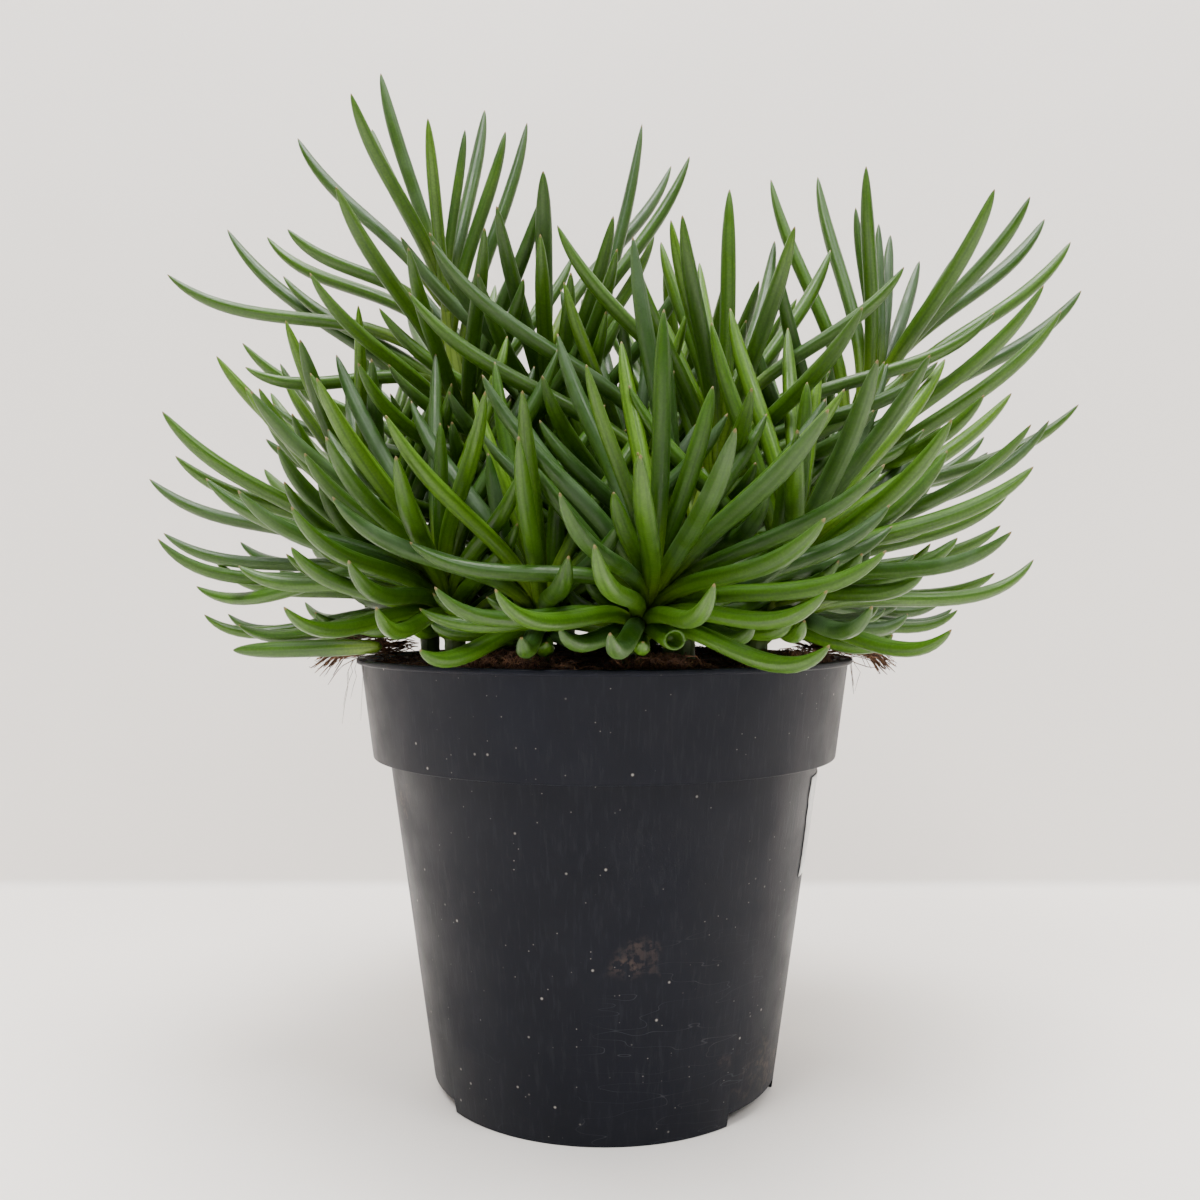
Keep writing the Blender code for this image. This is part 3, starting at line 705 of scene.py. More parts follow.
def finish_piece(name, shape, materials, replaces=(), body="root", levels=0):
    """The object made from a bmesh, riding on the body and standing for the nodes it replaces."""
    bmesh.ops.recalc_face_normals(shape, faces=shape.faces)
    mesh = bpy.data.meshes.new(name)
    shape.to_mesh(mesh)
    shape.free()
    mesh.shade_smooth()
    piece = bpy.data.objects.new(name, mesh)
    bpy.context.scene.collection.objects.link(piece)
    for finish in materials:
        mesh.materials.append(finish)
    if levels:
        subdivision = piece.modifiers.new("Round", "SUBSURF")
        subdivision.levels = levels
        subdivision.render_levels = levels
    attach(piece, body)
    if replaces:
        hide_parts(*replaces)
    return piece


def ring_matrix(centre, across, normal, along, width, thickness):
    """Takes a unit ring in its own XY plane to its place along a leaf or stem."""
    turn = Matrix((across * width, normal * thickness, along)).transposed()
    return Matrix.Translation(centre) @ turn.to_4x4()


def sweep(shape, matrices, sides, section, paint, close_far=True):
    """A ring extruded through the matrices, closed at its root and, if asked, at its far end."""
    made = bmesh.ops.create_circle(shape, cap_ends=True, segments=sides, radius=1)
    ring = made["verts"]
    for vert in ring:
        vert.co = section(vert.co)
        vert[paint.section] = vert.co.copy()
    bmesh.ops.transform(shape, matrix=matrices[0], verts=ring)
    for vert in ring:
        vert[paint.along] = 0.0
    edges = [edge for edge in {e for v in ring for e in v.link_edges}]
    every = list(ring)
    for index, (before, after) in enumerate(zip(matrices, matrices[1:]), start=1):
        grown = bmesh.ops.extrude_edge_only(shape, edges=edges)["geom"]
        ring = [item for item in grown if isinstance(item, bmesh.types.BMVert)]
        edges = [item for item in grown if isinstance(item, bmesh.types.BMEdge)]
        edges = [edge for edge in edges if all(v in ring for v in edge.verts)]
        bmesh.ops.transform(shape, matrix=after @ before.inverted(), verts=ring)
        for vert in ring:
            vert[paint.along] = index / (len(matrices) - 1)
        every += ring
    if close_far:
        bmesh.ops.contextual_create(shape, geom=edges)
    return every


class Paint(NamedTuple):
    """The attribute layers that the plant's finishes read."""

    along: object
    section: object
    tone: object
    age: object


def paint_layers(shape):
    floats = shape.verts.layers.float
    vectors = shape.verts.layers.float_vector
    return Paint(floats.new("along"), vectors.new("section"), floats.new("tone"), floats.new("age"))


def leaf_section(point):
    """A leaf is nearly round, a little wider than thick and flatter on its upper side."""
    return Vector((point.x * LEAF_WIDTH, point.y * (LEAF_TOP if point.y > 0 else LEAF_BACK), 0))


def round_section(point):
    return Vector((point.x, point.y, 0))


def add_leaf(shape, paint, leaf, chance):
    """One finger leaf, along its bent line, pointed at the tip."""
    shares = [smooth_rings(i / (LEAF_RINGS - 1)) for i in range(LEAF_RINGS)]
    points = leaf_points(leaf, shares)
    across = leaf.axis.cross(leaf.sideways).normalized()
    twist = math.radians(chance.uniform(-LEAF_TWIST, LEAF_TWIST))
    plump = chance.uniform(0.96, 1.1)
    matrices = []
    for index, share in enumerate(shares):
        ahead = points[min(index + 1, len(points) - 1)]
        behind = points[max(index - 1, 0)]
        along = (ahead - behind).normalized()
        normal = along.cross(across).normalized()
        if normal.dot(leaf.axis - leaf.sideways) < 0:
            normal.negate()
        side = along.cross(normal).normalized()
        turned = Matrix.Rotation(twist * share, 3, along)
        radius = max(skin_profile(share, leaf.cut), LEAF_POINT) * leaf.radius * plump
        matrices.append(ring_matrix(points[index], turned @ side, turned @ normal, along, radius, radius))
    if leaf.cut:
        end = matrices[-1]
        matrices.append(end @ Matrix.Diagonal((CUT_HOLLOW, CUT_HOLLOW, 1, 1)))
        sunk = Matrix.Translation((0, 0, -CUT_DEPTH)) @ Matrix.Diagonal((CUT_HOLLOW, CUT_HOLLOW, 1, 1))
        matrices.append(matrices[-1] @ sunk)
    verts = sweep(shape, matrices, LEAF_SIDES, leaf_section, paint)
    tone = chance.random()
    for vert in verts:
        if leaf.cut:
            vert[paint.along] *= CUT_GREEN
        vert[paint.tone] = tone
        vert[paint.age] = leaf.age
    return verts


def leaf_points(leaf, shares):
    return [Vector(point) for point in points_along(leaf.bend, shares)]


def loose_leaf():
    """The fallen leaf, as a bend through its first and last points."""
    points = [Vector(point) for point in over_rim(LOOSE_LEAF, LOOSE_SIDE)]
    root, tip = points[0], points[-1]
    along = (tip - root).normalized()
    third = (tip - root) / 3
    bend = (root, root + third + UP * 0.2 * MM, tip - third - UP * 0.4 * MM, tip)
    side = along.cross(UP).normalized().cross(along)
    return Leaf(None, None, True, bend, side, along.cross(side), LEAF_RADIUS, False, 0.9)


def skin_profile(share, cut):
    """A finished leaf keeps its width further along than its clearance profile, then ends bluntly."""
    base = mix(SKIN_SOCKET, 1, smooth(share / SOCKET_LENGTH))
    if cut:
        return base
    taper = max(0.0, (share - SKIN_TAPER_START) / (1 - SKIN_TAPER_START))
    return base * (1 - taper**SKIN_TAPER_POWER) ** TAPER_BLUNTNESS


def smooth_rings(share):
    """Rings stand closer together towards the tip, where a leaf bends in to its point."""
    return 1 - (1 - share) ** 1.5


def add_stem(shape, paint, shoot, chance):
    """A stem from below the mix's surface to its crown, with slight regular swellings along it."""
    foot = foot_of(shoot)
    matrices = []
    spine = [foot - UP * 3 * MM, foot + UP * STRAIGHT_FOOT * 0.4]
    spine += [stem_at(shoot, i / STEM_RINGS) for i in range(STEM_RINGS + 1)]
    for index, point in enumerate(spine):
        ahead = spine[min(index + 1, len(spine) - 1)]
        behind = spine[max(index - 1, 0)]
        along = (ahead - behind).normalized()
        across = along.cross(Vector((0, 1, 0))).normalized()
        normal = across.cross(along).normalized()
        share = max(0, index - 2) / STEM_RINGS
        radius = stem_radius(share) * (1 + 0.07 * math.sin(index * 2.4)) * chance.uniform(0.97, 1.03)
        if index == len(spine) - 1:
            radius *= 0.4
        matrices.append(ring_matrix(point, across, normal, along, radius, radius))
    verts = sweep(shape, matrices, STEM_SIDES, round_section, paint)
    for vert in verts:
        vert[paint.tone] = 0.5
        vert[paint.age] = 0.5


# Shader building


class Graph:
    """Short ways to add and join shader nodes."""

    def __init__(self, tree):
        self.tree = tree

    def add(self, kind, inputs=None, **settings):
        made = self.tree.nodes.new("ShaderNode" + kind)
        for name, value in settings.items():
            setattr(made, name, value)
        for name, value in (inputs or {}).items():
            self.put(made.inputs[name], value)
        return made

    def put(self, socket, value):
        if isinstance(value, bpy.types.NodeSocket):
            self.tree.links.new(value, socket)
        else:
            socket.default_value = value

    def math(self, operation, a, b=0.0, clamp=False):
        made = self.add("Math", {0: a, 1: b}, operation=operation, use_clamp=clamp)
        return made.outputs[0]

    def times(self, a, b):
        return self.math("MULTIPLY", a, b)

    def between(self, value, low, high, to_low=0.0, to_high=1.0):
        """value from low to high, made into to_low to to_high with a smooth step."""
        made = self.add(
            "MapRange",
            {"Value": value, "From Min": low, "From Max": high, "To Min": to_low, "To Max": to_high},
            interpolation_type="SMOOTHSTEP",
        )
        return made.outputs[0]

    def blend(self, share, first, second, kind="MIX"):
        made = self.tree.nodes.new("ShaderNodeMix")
        made.data_type = "RGBA"
        made.blend_type = kind
        self.put(made.inputs[0], share)
        self.put(made.inputs[6], first)
        self.put(made.inputs[7], second)
        return made.outputs[2]

    def noise(self, scale, detail=3.0, roughness=0.55, vector=None, stretch=(1, 1, 1)):
        place = vector or self.place(stretch)
        made = self.add(
            "TexNoise", {"Vector": place, "Scale": scale, "Detail": detail, "Roughness": roughness}
        )
        return made.outputs["Fac"]

    def place(self, stretch=(1, 1, 1), shift=(0, 0, 0)):
        where = self.add("TexCoord").outputs["Object"]
        return self.add("Mapping", {"Vector": where, "Scale": stretch, "Location": shift}).outputs[0]

    def attribute(self, name, output="Fac"):
        return self.add("Attribute", attribute_name=name).outputs[output]

    def bump(self, height, distance, strength=1.0):
        made = self.add("Bump", {"Height": height, "Distance": distance, "Strength": strength})
        return made.outputs["Normal"]


def new_group(name, inputs, outputs):
    """An empty shader group with its named sockets, and its graph and end nodes."""
    group = bpy.data.node_groups.new(name, "ShaderNodeTree")
    for label, kind, value in inputs:
        socket = group.interface.new_socket(label, in_out="INPUT", socket_type="NodeSocket" + kind)
        socket.default_value = value
    for label, kind in outputs:
        group.interface.new_socket(label, in_out="OUTPUT", socket_type="NodeSocket" + kind)
    graph = Graph(group)
    return graph, group.nodes.new("NodeGroupInput").outputs, group.nodes.new("NodeGroupOutput").inputs


def use_group(graph, name, values):
    made = graph.tree.nodes.new("ShaderNodeGroup")
    made.node_tree = bpy.data.node_groups[name]
    for label, value in values.items():
        graph.put(made.inputs[label], value)
    return made.outputs


def new_material(name):
    made = bpy.data.materials.new(name)
    made.use_nodes = True
    graph = Graph(made.node_tree)
    return made, graph, made.node_tree.nodes["Principled BSDF"].inputs


def rgba(colour):
    return (*colour[:3], 1.0)


def build_groups():
    """Specks, smears, scuffs and the fine lines along leaves and stems."""
    graph, given, out = new_group(
        "specks",
        [("Scale", "Float", 300.0), ("Size", "Float", 0.2), ("Amount", "Float", 0.5)],
        [("Mask", "Float")],
    )
    cells = graph.add("TexVoronoi", {"Vector": graph.place(), "Scale": given["Scale"]})
    dot = graph.between(cells.outputs["Distance"], given["Size"], 0.0)
    pick = graph.add("SeparateColor", {0: cells.outputs["Color"]}).outputs[0]
    chosen = graph.math("LESS_THAN", pick, given["Amount"])
    graph.put(out["Mask"], graph.times(dot, chosen))

    graph, given, out = new_group(
        "smears",
        [("Scale", "Float", 12.0), ("Threshold", "Float", 0.6), ("Grain", "Float", 400.0)],
        [("Mask", "Float")],
    )
    broad = graph.noise(given["Scale"], 4.0)
    fine = graph.noise(given["Grain"], 2.0)
    upper = graph.math("ADD", given["Threshold"], 0.12)
    spread = graph.between(broad, given["Threshold"], upper)
    graph.put(out["Mask"], graph.times(spread, graph.between(fine, 0.42, 0.62)))

    graph, given, out = new_group(
        "scuffs",
        [("Scale", "Float", 900.0), ("Stretch", "Vector", (1.0, 1.0, 0.05))],
        [("Mask", "Float")],
    )
    where = graph.add("TexCoord").outputs["Object"]
    pulled = graph.add("Mapping", {"Vector": where, "Scale": given["Stretch"]}).outputs[0]
    streak = graph.noise(given["Scale"], 3.0, vector=pulled)
    graph.put(out["Mask"], graph.between(streak, 0.5, 0.72))

    graph, given, out = new_group(
        "grain_lines",
        [("Count", "Float", 9.0), ("Wander", "Float", 0.6)],
        [("Line", "Float"), ("Upper", "Float")],
    )
    section = graph.attribute("section", "Vector")
    parts = graph.add("SeparateXYZ", {0: section}).outputs
    angle = graph.math("ARCTAN2", parts[0], parts[1])
    wander = graph.times(graph.noise(60.0, 2.0), given["Wander"])
    turns = graph.math("ADD", graph.times(angle, given["Count"]), wander)
    wave = graph.math("COSINE", turns)
    graph.put(out["Line"], graph.between(wave, 0.35, 1.0))
    graph.put(out["Upper"], graph.between(parts[1], -0.25, 0.45))


def leaf_material(settings):
    """Waxy leaf skin: yellower at its root, darker with age, finely lined, dry at the very tip."""
    made, graph, shader = new_material("leaf_skin")
    along = graph.attribute("along")
    tone = graph.attribute("tone")
    age = graph.attribute("age")
    lines = use_group(graph, "grain_lines", {"Count": 7.0, "Wander": 1.4})
    grown = graph.between(age, 0.05, 0.55)
    colour = graph.blend(grown, rgba(settings.young), rgba(settings.mature))
    deep = graph.between(graph.math("ADD", tone, graph.noise(22.0, 2.0)), 0.75, 1.35)
    colour = graph.blend(deep, colour, rgba(settings.deep))
    under = graph.math("SUBTRACT", 1.0, lines["Upper"])
    colour = graph.blend(graph.times(under, 0.35), colour, rgba(settings.back))
    root = graph.between(along, 0.28, 0.0)
    colour = graph.blend(graph.times(root, 0.8), colour, rgba(settings.root))
    mottle = graph.between(graph.noise(1400.0, 3.0), 0.3, 0.75, 0.82, 1.16)
    colour = graph.blend(1.0, colour, grey(graph, mottle), "MULTIPLY")
    darker = graph.times(lines["Line"], 0.42)
    colour = graph.blend(darker, colour, rgba(settings.deep))
    bloomy = graph.between(tone, 0.72, 0.95)
    bloom = graph.times(bloomy, graph.between(graph.noise(90.0), 0.4, 0.7))
    colour = graph.blend(graph.times(bloom, 0.18), colour, rgba(settings.bloom))
    dry = graph.between(along, 0.955, 0.995)
    colour = graph.blend(graph.times(dry, 0.75), colour, rgba(settings.dry_tip))
    graph.put(shader["Base Color"], colour)
    gloss = graph.between(graph.noise(120.0, 3.0), 0.3, 0.7, 0.3, 0.46)
    graph.put(shader["Roughness"], graph.math("ADD", gloss, graph.times(bloom, 0.2)))
    relief = graph.math("ADD", graph.times(lines["Line"], -0.6), graph.noise(1100.0, 2.0))
    graph.put(shader["Normal"], graph.bump(relief, 0.12 * MM, 0.55))
    shader["Specular IOR Level"].default_value = 0.42
    return made


def grey(graph, value):
    return graph.add("CombineColor", {0: value, 1: value, 2: value}).outputs[0]


def stem_material(settings):
    """Stem skin: yellow-green, lined, with darker scars where leaves have dropped."""
    made, graph, shader = new_material("stem_skin")
    lines = use_group(graph, "grain_lines", {"Count": 8.0, "Wander": 2.2})
    along = graph.attribute("along")
    colour = graph.blend(graph.between(along, 0.1, 0.8), rgba(settings.stem_old), rgba(settings.stem_young))
    colour = graph.blend(graph.times(lines["Line"], 0.4), colour, rgba(settings.mature))
    scars = use_group(graph, "specks", {"Scale": 190.0, "Size": 0.42, "Amount": 0.3})["Mask"]
    colour = graph.blend(graph.times(scars, 0.5), colour, rgba(settings.scar))
    graph.put(shader["Base Color"], colour)
    graph.put(shader["Roughness"], graph.between(graph.noise(150.0), 0.3, 0.7, 0.38, 0.55))
    graph.put(shader["Normal"], graph.bump(lines["Line"], 0.2 * MM, 0.5))
    return made


def pot_material(settings):
    """Charcoal nursery-pot plastic: satin, with upright scuffs, pale dust, scratches and earthy smears."""
    made, graph, shader = new_material("pot_plastic")
    cloud = graph.noise(14.0, 4.0)
    colour = graph.blend(graph.between(cloud, 0.3, 0.7), rgba(settings.plastic), rgba(settings.plastic_pale))
    scuffs = use_group(graph, "scuffs", {"Scale": 800.0, "Stretch": (1.0, 1.0, 0.06)})["Mask"]
    colour = graph.blend(graph.times(scuffs, 0.05), colour, rgba(settings.scuff))
    dust = use_group(graph, "specks", {"Scale": 260.0, "Size": 0.16, "Amount": 0.07})["Mask"]
    fine_dust = use_group(graph, "specks", {"Scale": 700.0, "Size": 0.2, "Amount": 0.05})["Mask"]
    pale = graph.math("ADD", dust, graph.times(fine_dust, 0.6), clamp=True)
    colour = graph.blend(graph.times(pale, 0.75), colour, rgba(settings.dust))
    earth = use_group(graph, "smears", {"Scale": 26.0, "Threshold": 0.62, "Grain": 520.0})["Mask"]
    colour = graph.blend(graph.times(earth, 0.4), colour, rgba(settings.earth))
    level = graph.math("SUBTRACT", graph.noise(38.0, 1.0, stretch=(1, 1, 5)), 0.5)
    off_line = graph.between(graph.math("ABSOLUTE", level), 0.0, 0.004)
    scratch = graph.math("SUBTRACT", 1.0, off_line)
    scratch = graph.times(scratch, graph.between(graph.noise(9.0), 0.52, 0.62))
    colour = graph.blend(graph.times(scratch, 0.3), colour, rgba(settings.scuff))
    graph.put(shader["Base Color"], colour)
    rough = graph.between(graph.noise(45.0, 4.0), 0.3, 0.7, 0.36, 0.5)
    rough = graph.math("ADD", rough, graph.times(pale, 0.3), clamp=True)
    graph.put(shader["Roughness"], rough)
    relief = graph.math("ADD", graph.noise(2200.0, 2.0), graph.times(scuffs, 0.5))
    graph.put(shader["Normal"], graph.bump(relief, 0.05 * MM, 0.5))
    shader["Specular IOR Level"].default_value = 0.12
    return made


def mix_material(name, dark, light, scale):
    """Coir and bark, from dark crumbs to light fibre; in the coir finish the dark tone is painted shade, and
    the light tone and its specks are painted light.
    """
    made, graph, shader = new_material(name)
    broad = graph.noise(scale, 5.0, 0.7)
    colour = graph.blend(graph.between(broad, 0.35, 0.7), rgba(dark), rgba(light))
    bits = use_group(graph, "specks", {"Scale": scale * 4, "Size": 0.3, "Amount": 0.2})["Mask"]
    colour = graph.blend(graph.times(bits, 0.5), colour, rgba(light))
    graph.put(shader["Base Color"], colour)
    graph.put(shader["Roughness"], graph.between(broad, 0.2, 0.8, 0.75, 0.98))
    graph.put(shader["Normal"], graph.bump(graph.noise(scale * 3, 4.0), 0.6 * MM, 0.9))
    return made


def label_material(settings):
    """Plain film, whitened and creased, with its print rubbed away."""
    made, graph, shader = new_material("label_film")
    worn = graph.noise(60.0, 4.0)
    colour = graph.blend(graph.between(worn, 0.35, 0.7), rgba(settings.film), rgba(settings.film_grey))
    graph.put(shader["Base Color"], colour)
    graph.put(shader["Roughness"], graph.between(worn, 0.3, 0.7, 0.28, 0.5))
    graph.put(shader["Normal"], graph.bump(graph.noise(140.0, 3.0), 0.3 * MM, 0.4))
    return made


# Properties


def colour_property(label, about, default):
    return bpy.props.FloatVectorProperty(
        name=label, description=about, default=default, subtype="COLOR", size=3, min=0, max=1
    )


class SenecioPlant(bpy.types.PropertyGroup):
    """Colours and fullness of the plant."""

    fill: bpy.props.IntProperty(
        name="Fill", description="Further small leaves tried on each shoot", default=FILL_LEAVES, min=0
    )
    young: colour_property("Young leaf", "Skin of the leaves nearest the crown", (0.094, 0.205, 0.006))
    mature: colour_property("Mature leaf", "Skin of full-grown leaves", (0.041, 0.112, 0.0022))
    deep: colour_property("Deep green", "Skin in the darkest leaves and lines", (0.016, 0.056, 0.0015))
    back: colour_property("Leaf back", "Underside of a leaf", (0.066, 0.148, 0.007))
    root: colour_property("Leaf root", "Where a leaf leaves its stem", (0.165, 0.27, 0.022))
    bloom: colour_property("Bloom", "Waxy grey film on some leaves", (0.13, 0.19, 0.12))
    dry_tip: colour_property("Dry tip", "Point at a leaf's end", (0.20, 0.12, 0.045))
    stem_young: colour_property("Young stem", "Stem near the crown", (0.18, 0.27, 0.025))
    stem_old: colour_property("Old stem", "Stem near the mix", (0.085, 0.14, 0.022))
    scar: colour_property("Leaf scar", "Marks of fallen leaves", (0.10, 0.085, 0.03))


class SenecioPot(bpy.types.PropertyGroup):
    """Colours and roundness of the pot and its label."""

    steps: bpy.props.IntProperty(
        name="Steps", description="Facets round the pot", default=144, min=48
    )
    edge: bpy.props.FloatProperty(
        name="Edge", description="Rounding of the pot's edges", default=0.45 * MM, unit="LENGTH"
    )
    plastic: colour_property("Plastic", "Charcoal pot plastic", (0.0026, 0.0036, 0.0076))
    plastic_pale: colour_property("Pale plastic", "Where the plastic is rubbed", (0.0046, 0.0058, 0.0108))
    scuff: colour_property("Scuff", "Light scuff marks", (0.075, 0.080, 0.090))
    dust: colour_property("Dust", "Dust and lime specks", (0.45, 0.42, 0.38))
    earth: colour_property("Earth", "Dried potting mix on the plastic", (0.16, 0.11, 0.08))
    film: colour_property("Film", "Blank label film", (0.70, 0.70, 0.68))
    film_grey: colour_property("Grey film", "Where the film is thin", (0.42, 0.42, 0.42))


class SenecioMix(bpy.types.PropertyGroup):
    """The potting mix, its crumbs and its coir."""

    crumbs: bpy.props.IntProperty(
        name="Crumbs", description="Loose crumbs on the mix", default=700, min=0
    )
    fibres: bpy.props.IntProperty(
        name="Fibres", description="Coir fibres on the mix", default=420, min=0
    )
    bank: bpy.props.IntProperty(
        name="Bank", description="Fibres heaped at each bank", default=170, min=0
    )
    tuft: bpy.props.IntProperty(
        name="Tuft", description="Fibres in each tuft over the rim", default=190, min=0
    )
    dark: colour_property("Dark mix", "Damp peat and bark", (0.020, 0.010, 0.006))
    light: colour_property("Light mix", "Drier crumbs", (0.090, 0.042, 0.022))
    coir_dark: colour_property("Dark coir", "Shaded fibre", (0.060, 0.024, 0.012))
    coir_light: colour_property("Light coir", "Lit fibre", (0.24, 0.115, 0.055))


class SenecioStage(bpy.types.PropertyGroup):
    """Floor, backdrop, lights and camera."""

    floor: colour_property("Floor", "Pale painted floor and backdrop", (0.885, 0.835, 0.785))
    sky: bpy.props.FloatVectorProperty(
        name="Sky", description="Light from the room at eye level and overhead", default=(0.08, 1.1), size=2
    )
    wall_distance: bpy.props.FloatProperty(
        name="Backdrop", description="From the pot's axis to the backdrop", default=0.27, unit="LENGTH"
    )
    distance: bpy.props.FloatProperty(
        name="Distance", description="Camera to the pot's axis", default=0.423, unit="LENGTH"
    )
    height: bpy.props.FloatProperty(
        name="Height", description="Camera above the floor", default=0.1662, unit="LENGTH"
    )
    lens: bpy.props.FloatProperty(
        name="Lens", description="Focal length", default=36.06, unit="CAMERA"
    )


# Lamps: place, size across and power
LAMPS = {
    "key": ((-0.7, -1.1, 1.9), 0.8, 38),
    "fill": ((1.2, -1.0, 1.5), 0.8, 16),
    "top": ((0.1, -0.2, 1.8), 1.0, 46),
}

# Operators


def turned_shape(profile, steps):
    """A profile of (radius, height) points turned once round Z."""
    shape = bmesh.new()
    verts = [shape.verts.new((radius, 0, height)) for radius, height in profile]
    edges = [shape.edges.new(pair) for pair in zip(verts, verts[1:])]
    bmesh.ops.spin(
        shape,
        geom=[*verts, *edges],
        cent=(0, 0, 0),
        axis=(0, 0, 1),
        angle=2 * math.pi,
        steps=steps,
        use_merge=True,
        use_duplicate=False,
    )
    bmesh.ops.remove_doubles(shape, verts=shape.verts, dist=0.01 * MM)
    bmesh.ops.recalc_face_normals(shape, faces=shape.faces)
    return shape


def body_radius(z):
    """Outside radius of the tapered body below the step."""
    return mix(BASE_RADIUS, BODY_TOP_RADIUS, z / STEP_Z)


class SENECIO_OT_pot(bpy.types.Operator):
    """Make the stepped nursery pot, with its lip, notches and drain holes"""

    bl_idname = "senecio.pot"
    bl_label = "Pot"

    def execute(self, context):
        settings = context.scene.senecio_pot
        lip_bottom = POT_HEIGHT - LIP_THICKNESS
        profile = [
            (0, FLOOR_TOP),
            (body_radius(FLOOR_TOP) - WALL, FLOOR_TOP),
            (BODY_TOP_RADIUS - WALL, STEP_Z + WALL),
            (COLLAR_BOTTOM_RADIUS - WALL, STEP_Z + WALL),
            (COLLAR_TOP_RADIUS - WALL, POT_HEIGHT),
            (LIP_RADIUS, POT_HEIGHT),
            (LIP_RADIUS, lip_bottom),
            (COLLAR_TOP_RADIUS, lip_bottom),
            (COLLAR_BOTTOM_RADIUS, STEP_Z),
            (BODY_TOP_RADIUS, STEP_Z),
            (BASE_RADIUS, 0),
            (BASE_RADIUS - FOOT_WIDTH, 0),
            (body_radius(FLOOR_RISE) - FOOT_WIDTH, FLOOR_RISE),
            (0, FLOOR_RISE),
        ]
        shape = turned_shape(profile, settings.steps)
        corners = [e for e in shape.edges if e.is_manifold and e.calc_face_angle() > math.radians(20)]
        bmesh.ops.bevel(
            shape,
            geom=corners,
            offset=settings.edge,
            affect="EDGES",
            segments=3,
            profile=0.5,
            material=-1,
            clamp_overlap=True,
        )
        pot = finish_piece("pot_shell", shape, [pot_material(settings)], ["pot"])
        cut_away(pot, self.notches() + self.drains())
        pot.data.set_sharp_from_angle(angle=math.radians(40))
        return {"FINISHED"}

    def notches(self):
        size = Matrix.Diagonal((NOTCH_DEPTH, NOTCH_WIDTH, NOTCH_HEIGHT * 2, 1))
        cutters = []
        for azimuth in NOTCH_AZIMUTHS:
            shape = bmesh.new()
            turn = Matrix.Rotation(math.radians(azimuth), 4, "Z")
            place = turn @ Matrix.Translation((BASE_RADIUS - FOOT_WIDTH, 0, 0)) @ size
            bmesh.ops.create_cube(shape, size=1, matrix=place)
            cutters.append(shape)
        return cutters

    def drains(self):
        cutters = []
        for index in range(DRAIN_COUNT):
            shape = bmesh.new()
            place = Matrix.Translation(polar(360 * (index + 0.5) / DRAIN_COUNT, DRAIN_CIRCLE, FLOOR_RISE))
            bmesh.ops.create_cone(
                shape,
                cap_ends=True,
                segments=24,
                radius1=DRAIN_RADIUS,
                radius2=DRAIN_RADIUS,
                depth=FLOOR_THICKNESS * 4,
                matrix=place,
            )
            cutters.append(shape)
        return cutters


def cut_away(piece, shapes):
    """Cut the closed shapes out of a piece, and leave its mesh finished."""
    gathered = bpy.data.collections.new("cutters")
    for index, shape in enumerate(shapes):
        mesh = bpy.data.meshes.new(f"cutter_{index}")
        shape.to_mesh(mesh)
        shape.free()
        gathered.objects.link(bpy.data.objects.new(mesh.name, mesh))
    cut = piece.modifiers.new("Cut", "BOOLEAN")
    cut.operation = "DIFFERENCE"
    cut.operand_type = "COLLECTION"
    cut.collection = gathered
    cut.solver = "EXACT"
    evaluated = piece.evaluated_get(bpy.context.evaluated_depsgraph_get())
    finished = bpy.data.meshes.new_from_object(evaluated)
    piece.modifiers.clear()
    finished.name = piece.data.name
    piece.data = finished
    for cutter in list(gathered.objects):
        bpy.data.objects.remove(cutter)
    bpy.data.collections.remove(gathered)


class SENECIO_OT_label(bpy.types.Operator):
    """Make the blank film label with its torn edge"""

    bl_idname = "senecio.label"
    bl_label = "Label"

    def execute(self, context):
        low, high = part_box("label")
        chance = random.Random(SEED)
        shape = bmesh.new()
        bmesh.ops.create_grid(shape, x_segments=LABEL_COLUMNS, y_segments=LABEL_ROWS, size=0.5)
        jags = [chance.uniform(0, LABEL_JAG) for _ in range(LABEL_ROWS + 1)]
        for vert in shape.verts:
            u, v = vert.co.x + 0.5, vert.co.y + 0.5
            row = round(v * LABEL_ROWS)
            torn = jags[row] + 1.6 * math.sin(v * 5.2) if u < 0.03 else 0.0
            z = mix(low[2], high[2], v)
            angle = LABEL_START + LABEL_INSET + LABEL_SWEEP * LABEL_SHARE * u + torn * LABEL_TORN
            vert.co = polar(angle, body_radius(z) + LABEL_PROUD, z)
        bmesh.ops.recalc_face_normals(shape, faces=shape.faces)
        if next(iter(shape.faces)).normal.x < 0:
            bmesh.ops.reverse_faces(shape, faces=shape.faces)
        bmesh.ops.solidify(shape, geom=shape.faces, thickness=LABEL_FILM)
        settings = context.scene.senecio_pot
        finish_piece("label_film", shape, [label_material(settings)], ["label"])
        return {"FINISHED"}


